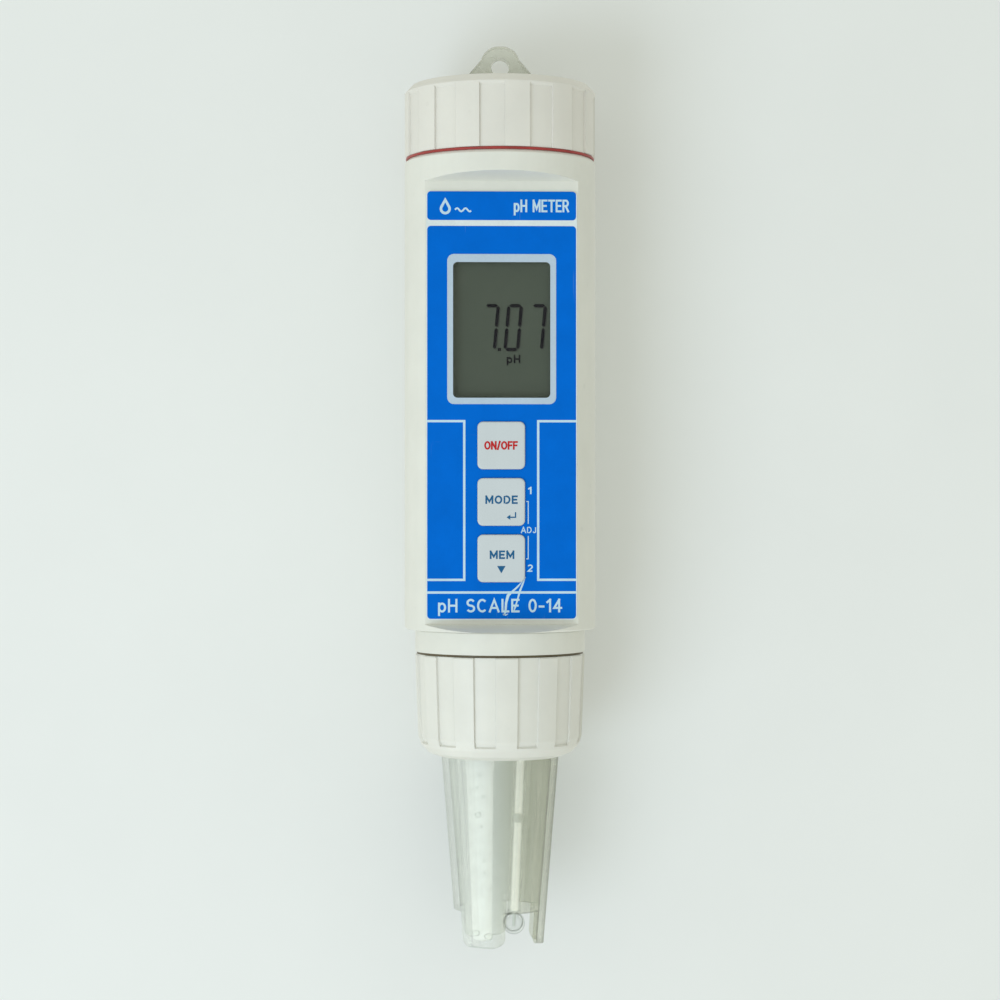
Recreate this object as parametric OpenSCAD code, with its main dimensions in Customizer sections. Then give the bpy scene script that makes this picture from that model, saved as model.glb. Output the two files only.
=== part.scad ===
// Pen-type pH meter. +Z runs up the tube towards the hanging eye, the probe
// points down and the labelled flat faces -Y. The origin is on the tube axis
// at the face where the collar nut meets the housing flange. Millimetres.

/* [Tube] */
// Outside diameter of the tube and the battery cap
tube_d = 40; // [40:0.2:41]
// Distance from the tube axis to the flat front of the tube
flat_y = 12.3; // [12.3:0.1:12.6]
// Height of the shoulder that the cap seal sits on
shoulder_z = 102.9; // [102.7:0.1:104]
// Height of the flange at the tube's lower end
flange_h = 4.7; // [4.5:0.1:5.2]

/* [Label and window] */
// Width of the printed front film
label_w = 31; // [29.5:0.1:31]
// Width of the display window
window_w = 20; // [19:0.1:20.4]
// Height of the display window
window_h = 27.9; // [27:0.1:28.2]
// Width of a key
key_w = 9.8; // [9.4:0.1:10]
// Distance that a key stands out of the film
key_proud = 0.6; // [0.4:0.1:1]

/* [Battery cap] */
// Height of the battery cap
cap_h = 14.9; // [14.9:0.1:16]
// Depth of the grip recesses in the cap and the nut
rib_depth = 0.5; // [0.3:0.1:0.7]
// Radius of the hole in the hanging eye
eye_hole_r = 1.9; // [1.5:0.1:2.1]
// Thickness of the hanging eye
eye_t = 4; // [3.5:0.1:4.5]

/* [Collar nut] */
// Diameter of the collar nut at its top
nut_d = 35.6; // [35.6:0.1:36.4]
// Height of the collar nut
nut_h = 21.9; // [21.8:0.1:22.6]

/* [Probe] */
// Length of the guard fingers below the rim of the probe shell
finger_len = 7.2; // [6.8:0.1:8.5]
// Radius of the glass bulb
bulb_r = 2.3; // [2.2:0.1:2.5]

/* [Thread] */
// Lead of the cap's and the nut's screw threads
pitch = 3; // [2.8:0.1:3.2]

/* [Hidden] */

$fn = 96;
far = 30; // reaches past the tube in any direction
housing_color = [0.91, 0.91, 0.87];
grip_color = [0.92, 0.92, 0.88];

// Tube and its neck
tube_r = tube_d / 2;
bore_r = tube_r - 2;
flange_r = tube_r - 2.2;
low_r = tube_r - 2.9; // narrower bore at the lower end
neck_r = tube_r - 2.8;
neck_bore_r = tube_r - 4;
neck_top = shoulder_z + 11.5;

// Distances forward of the axis, like flat_y, so each face lies at y = -value
film_t = 0.3;
film_y = flat_y + film_t;
wall_y = flat_y - 1.8; // inner face of the flat wall
pcb_front = wall_y - 2.6;
pcb_back = pcb_front - 1;

// Window and keys
window_z = 66.65;
window_corner = 0.9;
key_x = -0.1;
key_z = [42.9, 31.3, 19.7]; // power, hold, record
screw_x = [-11.6, 11.6];
screw_z = [13, 46];

// Cap
cap_base_z = shoulder_z + 0.6;
cap_top_z = cap_base_z + cap_h;
cap_roof_z = cap_top_z - 1.8; // underside of the cap's top
cap_bore_r = neck_r + 1.05;

// Threaded spigot under the end ring, and the nut round it
nut_r = nut_d / 2;
nut_top = -0.5;
nut_lip = nut_h - 3.2; // depth of the lip that carries the probe
spigot_r = nut_r - 3.6;
spigot_bore = spigot_r - 1.7;
spigot_len = 15;
nut_bore_r = spigot_r + 1.1;
shell_rim_z = -17.2; // top of the rim that rests on the nut's lip

// Threads: a rib is wider at its root, which is sunk into its wall
root_half = 0.9;
crest_half = 0.35;
root_sink = 0.3;
cap_rib_h = 0.75;
nut_rib_h = 0.8;
cap_thread_z = shoulder_z + 2.4;
cap_turns = 2.6;
nut_thread_z = -13;

// ---------------------------------------------------------------- helpers
module raise(z) translate([0, 0, z]) children();

// Points of an arc, for rounded outlines
function arc(x, y, radius, start, end, steps = 6) = [for (i = [0:steps])
    let (angle = start + (end - start) * i / steps)
    [x + radius * cos(angle), y + radius * sin(angle)]];

// A rounded rectangle about the origin
module rounded_rect(width, height, corner) {
    side_x = width / 2 - corner;
    side_y = height / 2 - corner;
    polygon(concat(arc(side_x, side_y, corner, 0, 90), arc(-side_x, side_y, corner, 90, 180),
        arc(-side_x, -side_y, corner, 180, 270), arc(side_x, -side_y, corner, 270, 360)));
}

// Extrudes an outline drawn in X and Z from y = -front to y = -back
module plate(front, back)
    translate([0, -back, 0]) rotate([90, 0, 0]) linear_extrude(front - back) children();

// A circle cut flat at y = -front
module d_outline(radius, front) difference() {
    circle(radius);
    translate([-far, -front - far]) square([2 * far, far]);
}

// A right-hand thread rib, built as short arcs that climb round the axis.
// inner_half and outer_half are its half heights at its inner and outer radii
module thread_rib(inner_r, outer_r, start_z, turns, inner_half, outer_half) {
    arcs = 18; // in one turn
    for (i = [0:round(turns * arcs) - 1]) rotate(360 * i / arcs)
        raise(start_z + pitch * i / arcs) rotate_extrude(angle = 360 / arcs + 0.5)
            polygon([[inner_r, -inner_half], [outer_r, -outer_half],
                [outer_r, outer_half], [inner_r, inner_half]]);
}
module outer_thread(radius, height, start_z, turns)
    thread_rib(radius - root_sink, radius + height, start_z, turns, root_half, crest_half);
// Starts half a pitch above the outer thread that it engages
module inner_thread(radius, height, start_z, turns)
    thread_rib(radius - height, radius + root_sink, start_z + pitch / 2, turns,
        crest_half, root_half);

// Grip sectors: 12 lands of 15 degrees, with recesses centred on phase + 30 i from the front
module land_sectors(radius, phase) {
    edge_x = radius * cos(7.5);
    edge_y = radius * sin(7.5);
    for (i = [0:11]) rotate(phase - 90 + 15 + 30 * i)
        polygon([[0, 0], [edge_x, -edge_y], [radius * 1.06, 0], [edge_x, edge_y]]);
}

// A round wire through a list of points
module wire(points, radius) {
    for (i = [0:len(points) - 2]) {
        run = points[i + 1] - points[i];
        translate(points[i]) rotate([0, acos(run[2] / norm(run)), atan2(run[1], run[0])])
            cylinder(r = radius, h = norm(run), $fn = 24);
        if (i > 0) translate(points[i]) rotate([37, 23, 0]) sphere(radius * 1.15, $fn = 24);
    }
}

module at_keys() for (z = key_z) translate([key_x, 0, z]) children();
module key_opening() rounded_rect(key_w + 0.4, key_w + 0.4, 1.35);

// Turns children drawn along +Z to run backwards at each board screw
module at_screws()
    for (x = screw_x) for (z = screw_z) translate([x, 0, z]) rotate([-90, 0, 0]) children();

// ---------------------------------------------------------------- housing
module main_tube() color(housing_color) {
    difference() {
        union() {
            difference() {
                rotate_extrude() polygon([[0, flange_h], [tube_r - 0.35, flange_h],
                    [tube_r, flange_h + 0.35], [tube_r, shoulder_z - 0.6],
                    [tube_r - 0.6, shoulder_z], [neck_r, shoulder_z],
                    [neck_r, neck_top - 0.5], [neck_r - 0.5, neck_top], [0, neck_top]]);
                // flat front with sloping ends, as [y, z]
                translate([-far, 0, 0]) rotate([90, 0, 90]) linear_extrude(2 * far)
                    polygon([[-flat_y, flange_h + 1.4], [-flat_y, shoulder_z - 5.6],
                        [-tube_r - 2, shoulder_z - 4], [-tube_r - 2, flange_h - 0.6]]);
            }
            outer_thread(neck_r, cap_rib_h, cap_thread_z, cap_turns);
        }
        raise(flange_h - 1) linear_extrude(20) d_outline(low_r, wall_y);
        raise(flange_h + 5.2) linear_extrude(shoulder_z - 7 - flange_h)
            d_outline(bore_r, wall_y);
        raise(shoulder_z - 1.9) cylinder(r = neck_bore_r, h = 20);
        raise(window_z) plate(flat_y + 1, wall_y - 1)
            rounded_rect(window_w + 0.4, window_h + 0.4, window_corner + 0.2);
        at_keys() plate(flat_y + 1, wall_y - 1) key_opening();
    }
    // bosses for the board's screws
    at_screws() raise(-wall_y - 0.5) difference() {
        cylinder(r = 2.2, h = wall_y + 0.5 - pcb_front - 0.02);
        raise(0.6) cylinder(r = 0.75, h = 10);
    }
    // ledges behind the board's upper corners
    for (side = [-1, 1]) intersection() {
        translate([side * 16.6 - 2, -pcb_back + 0.05, 92]) cube([4, 1.4, 4]);
        cylinder(r = bore_r + 0.5, h = 120);
    }
}

module lower_end_ring() color(housing_color) difference() {
    union() {
        rotate_extrude() polygon([[0, 0], [flange_r, 0], [flange_r, flange_h - 0.3],
            [flange_r - 0.27, flange_h - 0.03], [0, flange_h - 0.03]]);
        linear_extrude(flange_h + 5) d_outline(low_r - 0.1, wall_y - 0.1);
        raise(-spigot_len) cylinder(r = spigot_r, h = spigot_len + 1);
        outer_thread(spigot_r, nut_rib_h, nut_thread_z, 3.4);
    }
    raise(2) linear_extrude(30) d_outline(low_r - 1.6, wall_y - 1.6);
    raise(-spigot_len - 1) cylinder(r = spigot_bore, h = spigot_len + 1);
    cylinder(r = 4.6, h = 10, center = true);
    // groove for the tube seal ring
    raise(flange_h + 1.9) difference() {
        cylinder(r = far, h = 1.6);
        raise(-1) linear_extrude(4) d_outline(low_r - 1, wall_y - 1);
    }
}

module tube_seal_ring() color([0.12, 0.12, 0.12])
    raise(flange_h + 2.1) linear_extrude(1.2) difference() {
        d_outline(low_r - 0.04, wall_y - 0.04);
        d_outline(low_r - 0.96, wall_y - 0.96);
    }

gasket_in = spigot_r + 1.15;
gasket_out = nut_r - 0.35;
module nut_gasket() color([0.25, 0.2, 0.12]) rotate_extrude() polygon([[gasket_in, -0.44],
    [gasket_out, -0.44], [gasket_out, -0.04], [gasket_in, -0.04]]);

label_z = 51.05;
label_h = 88.1;
module front_label() color([0.01, 0.41, 0.78])
    raise(label_z) plate(film_y, flat_y) difference() {
        rounded_rect(label_w, label_h, 1);
        translate([0, window_z - label_z]) rounded_rect(window_w, window_h, window_corner);
        for (z = key_z) translate([key_x, z - label_z]) key_opening();
    }

module window_lens() color([0.85, 0.9, 0.9, 0.4])
    raise(window_z) plate(flat_y - 0.05, wall_y + 0.05)
        rounded_rect(window_w + 0.2, window_h + 0.2, window_corner + 0.1);

// ---------------------------------------------------------------- display
lcd_w = 23.2;
lcd_h = 31.9;
lcd_ledge = 1.2; // the rear glass stops this far above the front one's lower edge
lcd_front = wall_y - 0.1;
lcd_mid = wall_y - 0.9; // where the two glasses meet
lcd_back = wall_y - 1.7;

module lcd_glass() color([0.33, 0.35, 0.3]) raise(window_z) {
    plate(lcd_front, lcd_mid) square([lcd_w, lcd_h], center = true);
    plate(lcd_mid, lcd_back) translate([0, lcd_ledge / 2])
        square([lcd_w, lcd_h - lcd_ledge], center = true);
}

module lcd_frame() color([0.15, 0.15, 0.16])
    raise(window_z) plate(wall_y - 0.06, pcb_front + 0.03) difference() {
        rounded_rect(26, 34.6, 0.8);
        square([lcd_w + 0.2, lcd_h + 0.2], center = true);
    }

module zebra_strip(z, front, height) raise(window_z + z)
    plate(front - 0.04, pcb_front + 0.04) square([21, height], center = true);
module zebra_strips() color([0.7, 0.55, 0.5]) {
    zebra_strip(-15.35, lcd_mid, 1.1);
    zebra_strip(14.9, lcd_back, 1.4);
}

// ---------------------------------------------------------------- board
board_gap = 0.02; // between the board and what sits on it
pcb_side = 15.2;
pcb_bottom = flange_h + 6;
pcb_top = 97;
pcb_chamfer = 0.6;
lead_pitch = 1.05;

// Places a part on the back of the board
module on_board(x, z, gap = board_gap) translate([x, -pcb_back + gap, z]) children();

module main_pcb() color([0.05, 0.35, 0.2]) plate(pcb_front, pcb_back) difference() {
    polygon([
        [-pcb_side + pcb_chamfer, pcb_bottom], [pcb_side - pcb_chamfer, pcb_bottom],
        [pcb_side, pcb_bottom + pcb_chamfer], [pcb_side, pcb_top - pcb_chamfer],
        [pcb_side - pcb_chamfer, pcb_top], [-pcb_side + pcb_chamfer, pcb_top],
        [-pcb_side, pcb_top - pcb_chamfer], [-pcb_side, pcb_bottom + pcb_chamfer]]);
    for (x = screw_x) for (z = screw_z) translate([x, z]) circle(1.1);
}

module processor_chip() color([0.1, 0.1, 0.11]) {
    on_board(-5, 47, gap = 0.15) cube([10, 1.4, 10]);
    // leads on all four sides
    for (side = [-1, 1]) for (i = [0:7]) {
        on_board(side * 5.5 - 0.6, 48 + i * lead_pitch) cube([1.2, 0.4, 0.45]);
        on_board(-3.9 + i * lead_pitch, 52 + side * 5.4 - 0.6) cube([0.45, 0.4, 1.2]);
    }
}

module input_amplifier() color([0.1, 0.1, 0.11]) {
    on_board(-9, 22, gap = 0.15) cube([4, 1.4, 5]);
    for (side = [-1, 1]) for (i = [0:3])
        on_board(-7 + side * 2.4 - 0.6, 22.4 + i * 1.27) cube([1.2, 0.4, 0.42]);
}

module crystal_can() color([0.8, 0.8, 0.82]) {
    for (x = [-1.6, 1.6]) on_board(x + 7, 40) rotate([-90, 0, 0]) cylinder(r = 1.7, h = 3);
    on_board(5.4, 38.3) cube([3.2, 3, 3.4]);
}

module capacitors() color([0.12, 0.15, 0.3])
    for (x = [-10, 10]) on_board(x, 58.5) rotate([-90, 0, 0]) {
        cylinder(r = 2.5, h = 5.6);
        raise(5.5) cylinder(r1 = 2.3, r2 = 1.9, h = 0.4);
    }

// Square bodies with a round recess and a slot in the back
module trimmer_pots() color([0.1, 0.3, 0.65]) for (z = [18, 30]) on_board(4, z) difference() {
    raise(-3.2) cube([6.4, 4.2, 6.4]);
    translate([3.2, 3.4, 0]) rotate([-90, 0, 0]) cylinder(r = 1.9, h = 2);
    translate([2.9, 2.9, -1.6]) cube([0.6, 3, 3.2]);
}

module switch_bodies() color([0.12, 0.12, 0.12]) at_keys() difference() {
    plate(pcb_front + 1.3, pcb_front + board_gap) square([6, 6], center = true);
    translate([0, -pcb_front + 0.5, 0]) rotate([90, 0, 0]) cylinder(r = 1.32, h = 4);
}

module pcb_screws() color([0.75, 0.75, 0.76]) at_screws() {
    raise(-pcb_front - 1.5) cylinder(r = 0.7, h = 1.5 + pcb_front - pcb_back + 0.2);
    // cross-slotted head
    difference() {
        raise(-pcb_back + board_gap) cylinder(r = 1.9, h = 1.1);
        translate([-0.3, -2.5, -pcb_back + 0.65]) cube([0.6, 5, 1]);
        translate([-2.5, -0.3, -pcb_back + 0.65]) cube([5, 0.6, 1]);
    }
}

// ---------------------------------------------------------------- battery pack
cell_r = 5.1;
cell_offset = 5.35; // of each cell from the pack's centre, in X and in Y
pack_y = 3.75;
pack_top = neck_top + 0.6;
pack_h = 48.9;
pack_bot = pack_top - pack_h;
plate_t = 1.2; // end plates of the carrier
contact_gap = 0.02;
carrier_r = neck_bore_r - 0.2;
lead_x = 9.5;
lead_y = -4.6;

// Cells 0 and 1 are in front, the even ones at -X; 0 and 3 point up
module cell_at(i) translate([(i % 2 == 0 ? -1 : 1) * cell_offset,
    pack_y + (i < 2 ? -1 : 1) * cell_offset, 0]) children();
function cell_up(i) = i == 0 || i == 3;

module battery_carrier() color([0.16, 0.16, 0.17]) {
    difference() {
        for (z = [pack_bot, pack_top - plate_t]) raise(z) linear_extrude(plate_t)
            d_outline(carrier_r, pcb_back - 0.1);
        // slots for the contacts' tails and the leads
        for (side = [-1, 1]) translate([side * lead_x, lead_y, pack_bot - 1])
            cylinder(r = 0.75, h = 3);
        // finger pull
        translate([0, pack_y, pack_top - 2]) cylinder(r = 1.4, h = 3);
    }
    // central post
    translate([0, pack_y, pack_bot + 0.5]) difference() {
        cylinder(r = 2.2, h = pack_h - 1);
        raise(pack_h - 5) cylinder(r = 1.4, h = 6);
    }
    // curved walls on the two sides
    for (turn = [0, 180]) intersection() {
        raise(pack_bot + 0.5) linear_extrude(pack_h - 1) difference() {
            circle(carrier_r);
            circle(carrier_r - 1.2);
        }
        rotate(turn) translate([10.8, turn == 0 ? -0.4 : -7.6, 0]) cube([10, 8, 200]);
    }
}

// Half section of a cell, as [radius, height from its flat end]
cell_profile = [
    [0, 0.05], [3.2, 0.05], [3.4, 0.25], [4.9, 0.25], [cell_r, 0.5], [cell_r, 43.2],
    [4.9, 43.4], [4, 43.4], [3.8, 43.3], [1.9, 43.3], [1.9, 44.1], [1.6, 44.4], [0, 44.4]];
module battery_cells() color([0.75, 0.6, 0.2]) for (i = [0:3]) cell_at(i)
    raise(cell_up(i) ? pack_bot + 3 : pack_top - 3) mirror([0, 0, cell_up(i) ? 0 : 1])
        rotate_extrude() polygon(cell_profile);

// A conical cell spring, wound from round wire, standing on z = 0
module cell_spring() {
    steps = 32; // two turns of 16
    sides = 6; // of the wire's section
    wire_r = 0.18;
    points = [for (i = [0:steps])
        let (turn = 360 * i / 16, coil_r = 3.4 - 1.2 * i / steps, z = 0.2 + 1.38 * i / steps)
        for (j = [0:sides - 1])
            let (angle = 360 * j / sides, radius = coil_r + wire_r * cos(angle))
            [radius * cos(turn), radius * sin(turn), z + wire_r * sin(angle)]];
    skin = [for (i = [0:steps - 1]) for (j = [0:sides - 1])
        let (here = i * sides + j, next = i * sides + (j + 1) % sides)
        each [[here, next, next + sides], [here, next + sides, here + sides]]];
    last = steps * sides;
    ends = [for (j = [1:sides - 2]) each [[0, j + 1, j], [last, last + j, last + j + 1]]];
    polyhedron(points, concat(skin, ends));
}
spring_inset = plate_t + contact_gap;
module battery_springs() color([0.8, 0.8, 0.82]) for (i = [0:3]) cell_at(i)
    raise(cell_up(i) ? pack_bot + spring_inset : pack_top - spring_inset)
        rotate([cell_up(i) ? 0 : 180, 0, 0]) cell_spring();

contact_t = 0.16;
module contact_plates() color([0.85, 0.82, 0.7]) for (i = [0:3]) cell_at(i)
    translate([-3, -3, cell_up(i) ? pack_top - spring_inset - contact_t
        : pack_bot + spring_inset]) cube([6, 6, contact_t]);

// Drops from the carrier, runs inwards, then forward to the board
module battery_lead(side) {
    bend_z = pack_bot - 3;
    wire([[side * lead_x, lead_y, pack_bot + 0.9], [side * lead_x, lead_y, bend_z],
        [side * 5, lead_y, bend_z], [side * 5, -pcb_back + 0.1, bend_z]], 0.55);
}
module battery_lead_red() color([0.75, 0.1, 0.08]) battery_lead(1);
module battery_lead_black() color([0.08, 0.08, 0.08]) battery_lead(-1);

// ------------------------------------------------- socket in the floor of the end ring
module probe_socket() color([0.75, 0.75, 0.77]) difference() {
    union() {
        raise(-8.4) cylinder(r = 4.1, h = 8.3);
        raise(-1.4) cylinder(r = 7, h = 1.36);
        raise(-0.2) cylinder(r = 4.5, h = 7.2);
    }
    raise(-9) cylinder(r = 3.3, h = 20);
}
module socket_nut() color([0.8, 0.78, 0.6]) raise(2.03) difference() {
    cylinder(r = 7, h = 2.4, $fn = 6);
    raise(-1) cylinder(r = 4.56, h = 5);
}
module socket_insulator() color([0.92, 0.92, 0.9]) difference() {
    raise(-8.2) cylinder(r = 3.25, h = 16.4);
    raise(-9) cylinder(r = 1.65, h = 8.6);
}
module signal_lead() color([0.2, 0.2, 0.22])
    wire([[0, 0, 8.24], [0, 0, 11.5], [-3, -2.5, 15], [-3, -pcb_back + 1.3, 18]], 1.1);

// ---------------------------------------------------------------- cap
seal_t = 0.54;
seal_z = shoulder_z + 0.03;
module cap_seal_ring() color([0.7, 0.2, 0.17]) rotate_extrude()
    polygon(concat([[neck_r + 0.85, seal_z]],
        arc(tube_r - 0.47, seal_z + seal_t / 2, seal_t / 2, -90, 90, 12),
        [[neck_r + 0.85, seal_z + seal_t]]));

module cap_body() difference() {
    union() {
        // raised lands
        intersection() {
            rotate_extrude() polygon([[0, cap_base_z], [tube_r - 0.27, cap_base_z],
                [tube_r - 0.02, cap_base_z + 0.25], [tube_r - 0.02, cap_top_z - 1.65],
                [0, cap_top_z - 1.65]]);
            raise(cap_base_z - 1) linear_extrude(cap_h + 2) land_sectors(tube_r + 1, -6.2);
        }
        // core at the depth of the recesses, with a full-width top rim
        rotate_extrude() polygon([[0, cap_base_z], [tube_r - rib_depth, cap_base_z],
            [tube_r - rib_depth, cap_top_z - 2.3], [tube_r, cap_top_z - 1.8],
            [tube_r, cap_top_z - 1.5], [tube_r - 1.4, cap_top_z], [0, cap_top_z]]);
    }
    raise(cap_base_z - 1) cylinder(r = cap_bore_r, h = cap_roof_z - cap_base_z + 1);
    // slot for the eye
    translate([-7.05, -eye_t / 2 - 0.05, cap_roof_z - 1]) cube([14.1, eye_t + 0.1, 5]);
}
module cap_shell() color(grip_color) {
    cap_body();
    inner_thread(cap_bore_r, cap_rib_h, cap_thread_z, cap_turns);
}

// Bell outline of the hanging eye above the cap, with a round top
eye_foot_x = 9.4;
eye_flare_r = 3;
eye_flare_z = cap_top_z + 3.9;
eye_top_r = 3.8;
eye_round_z = cap_top_z + 8.5 - eye_top_r;
eye_outline = concat(
    [[-eye_foot_x, cap_top_z + 0.05], [eye_foot_x, cap_top_z + 0.05],
        [eye_foot_x, cap_top_z + 0.9]],
    arc(eye_foot_x, eye_flare_z, eye_flare_r, -90, -132, 4),
    arc(0.3, eye_round_z, eye_top_r, 15, 90, 8),
    arc(-0.3, eye_round_z, eye_top_r, 90, 165, 8),
    arc(-eye_foot_x, eye_flare_z, eye_flare_r, -48, -90, 4),
    [[-eye_foot_x, cap_top_z + 0.9]]);

module hanger_eye() color([0.75, 0.78, 0.76, 0.6]) difference() {
    union() {
        translate([0, eye_t / 2, 0]) rotate([90, 0, 0]) linear_extrude(eye_t)
            polygon(eye_outline);
        // tongue through the slot, and the disc under the cap's top
        translate([-7, -eye_t / 2, cap_roof_z - 0.5]) cube([14, eye_t, 2.6]);
        raise(cap_roof_z - 0.9) cylinder(r = 8.2, h = 0.85);
    }
    raise(cap_top_z + 4.1) rotate([90, 0, 0]) cylinder(r = eye_hole_r, h = 20, center = true);
}
module cap_pad() color([0.3, 0.3, 0.32]) raise(pack_top + 0.1) difference() {
    cylinder(r = 15, h = cap_roof_z - 0.05 - pack_top - 0.1);
    raise(-1) cylinder(r = 8.5, h = 5);
}

// ---------------------------------------------------------------- keys
key_face = film_y + key_proud;

// A key with a stepped face, a flange behind the wall and a round pad at its back
module key_at(z) color([0.86, 0.87, 0.88]) translate([key_x, 0, z]) {
    plate(key_face - 0.25, wall_y - 0.1) rounded_rect(key_w, key_w, 1.15);
    plate(key_face, key_face - 0.26) rounded_rect(key_w - 0.4, key_w - 0.4, 0.95);
    plate(wall_y - 0.1, wall_y - 0.7) rounded_rect(key_w + 1.4, 11.3, 0.8);
    translate([0, -wall_y + 0.65, 0]) rotate([-90, 0, 0]) cylinder(r = 1.8, h = 0.2);
}
module power_key() key_at(key_z[0]);
module hold_key() key_at(key_z[1]);
module record_key() key_at(key_z[2]);

module button_at(z) color([0.85, 0.8, 0.7])
    translate([key_x, -wall_y + 0.88, z]) rotate([-90, 0, 0]) cylinder(r = 1.25, h = 1.2);
module power_switch_button() button_at(key_z[0]);
module hold_switch_button() button_at(key_z[1]);
module record_switch_button() button_at(key_z[2]);

// ---------------------------------------------------------------- probe module
rim_z = -54;
tip_z = rim_z - finger_len;
cone_top = -nut_h;
head_z = -9; // top of the probe's head
head_bore = spigot_bore - 1.6;
body_r = spigot_bore - 0.2;
finger_angles = [-29, 92.3, -156]; // from the front

// The shell tapers downwards from cone_top
function shell_r(z) = body_r - (cone_top - z) * 0.08;
function shell_in(z) = head_bore - (cone_top - z) * 0.0797;

// Outline of one guard finger seen from outside, with rounded lower corners
module finger_outline() {
    half_w = 4.9;
    corner_z = -finger_len + 2;
    polygon(concat([[half_w, 3], [-half_w, 3]], arc(-half_w + 2.3, corner_z, 2, 190, 270),
        arc(half_w - 2.3, corner_z, 2, 270, 350)));
}
module electrode_shell() color([0.8, 0.84, 0.8, 0.35]) difference() {
    union() {
        // cone, cut away between the fingers below the rim
        intersection() {
            rotate_extrude() polygon([[0, cone_top + 1], [shell_r(cone_top), cone_top + 1],
                [shell_r(cone_top), cone_top], [shell_r(tip_z), tip_z], [0, tip_z]]);
            union() {
                raise(rim_z) cylinder(r = far, h = 60);
                for (angle = finger_angles) rotate(angle) raise(rim_z)
                    rotate([90, 0, 0]) linear_extrude(20) finger_outline();
            }
        }
        raise(cone_top) cylinder(r = body_r, h = -cone_top + head_z);
        raise(-nut_lip + 0.1) cylinder(r = spigot_r + 0.2, h = nut_lip - 0.1 + shell_rim_z);
    }
    rotate_extrude() polygon([[0, head_z + 1], [head_bore, head_z + 1],
        [head_bore, cone_top], [shell_in(tip_z), tip_z - 0.01], [0, tip_z - 0.01]]);
}

stem_top_x = 4.7;
stem_top_z = -12.2;
bulb_x = 2.85;
bulb_z = -57.1;
stem_y = -1.5;
stem_run = stem_top_x - bulb_x;
stem_rise = stem_top_z - bulb_z;

module electrode_head() color([0.88, 0.88, 0.85]) difference() {
    raise(head_z - 5) cylinder(r = head_bore - 0.06, h = 5);
    // holes for the plug pin, the stem and the reference tube
    raise(head_z - 2.2) cylinder(r = 1.6, h = 7);
    translate([stem_top_x, stem_y, head_z - 6]) cylinder(r = 1.6, h = 3.5);
    translate([-4.5, stem_y, head_z - 6]) cylinder(r = 3.15, h = 3.5);
}
module probe_seal_ring() color([0.1, 0.1, 0.1]) raise(-spigot_len - 1.1) rotate_extrude()
    translate([spigot_r - 0.72, 0]) circle(0.93, $fn = 48);
// A sleeve slotted from its top
module plug_shell() color([0.82, 0.78, 0.55]) raise(head_z + 0.02) difference() {
    cylinder(r = 5, h = 4.4);
    raise(-1) cylinder(r = 4.18, h = 7);
    for (angle = [0, 90]) rotate(angle) translate([-6, -0.3, 1.2]) cube([12, 0.6, 5]);
}
pin_r = 1.55;
module plug_pin() color([0.85, 0.75, 0.45]) raise(head_z - 2.15) rotate_extrude()
    polygon(concat([[0, 0], [pin_r, 0]], arc(0, 8.65, pin_r, 0, 90, 8)));

// Places children, drawn along +Z from the origin, at height z on the stem's leaning axis
module on_stem(z) translate([bulb_x + stem_run * (z - bulb_z) / stem_rise, stem_y, z])
    rotate([0, atan2(stem_run, stem_rise), 0]) children();

module glass_stem() color([0.85, 0.9, 0.88, 0.35]) on_stem(bulb_z + 2.67) difference() {
    cylinder(r = 1.4, h = 42.2);
    raise(-1) cylinder(r = 1.12, h = 60);
}
module glass_bulb() color([0.85, 0.9, 0.9, 0.4])
    translate([bulb_x, stem_y, bulb_z]) difference() {
        union() {
            sphere(bulb_r, $fn = 64);
            raise(1.3) cylinder(r = 1.4, h = 1.27);
        }
        sphere(bulb_r - 0.6, $fn = 64);
        cylinder(r = 0.9, h = 4);
    }
module sensing_wire() color([0.93, 0.93, 0.92]) on_stem(bulb_z - 0.6) {
    cylinder(r = 0.35, h = 6);
    raise(3.3) cylinder(r = 0.75, h = 40.3);
}
module stem_collar() color([0.88, 0.88, 0.86]) on_stem(bulb_z + 21.2) difference() {
    cylinder(r = 1.08, h = 1.9);
    raise(-1) cylinder(r = 0.79, h = 5);
}

// Places children, drawn along +Z, on the reference tube's leaning axis
module on_reference() translate([-3.75, stem_y, -60.5]) rotate([0, -0.9, 0]) children();

module reference_tube() color([0.82, 0.88, 0.84, 0.4]) on_reference() difference() {
    rotate_extrude() polygon(concat([[0, 0], [1, 0]], arc(1.05, 0.95, 0.95, -60, 0, 4),
        [[2.8, 34.6], [3.05, 36.4], [3.05, 47.5], [0, 47.5]]));
    rotate_extrude() polygon([[0, 1.2], [1, 1.2], [1.35, 2.2], [2.1, 34.8], [2.4, 36.5],
        [2.4, 48], [0, 48]]);
    raise(-1) cylinder(r = 0.62, h = 4);
}
module reference_wire() color([0.78, 0.79, 0.8])
    on_reference() raise(6) cylinder(r = 0.4, h = 41);
module junction_plug() color([0.9, 0.89, 0.85])
    on_reference() raise(-0.3) cylinder(r = 0.58, h = 2.6);

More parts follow.
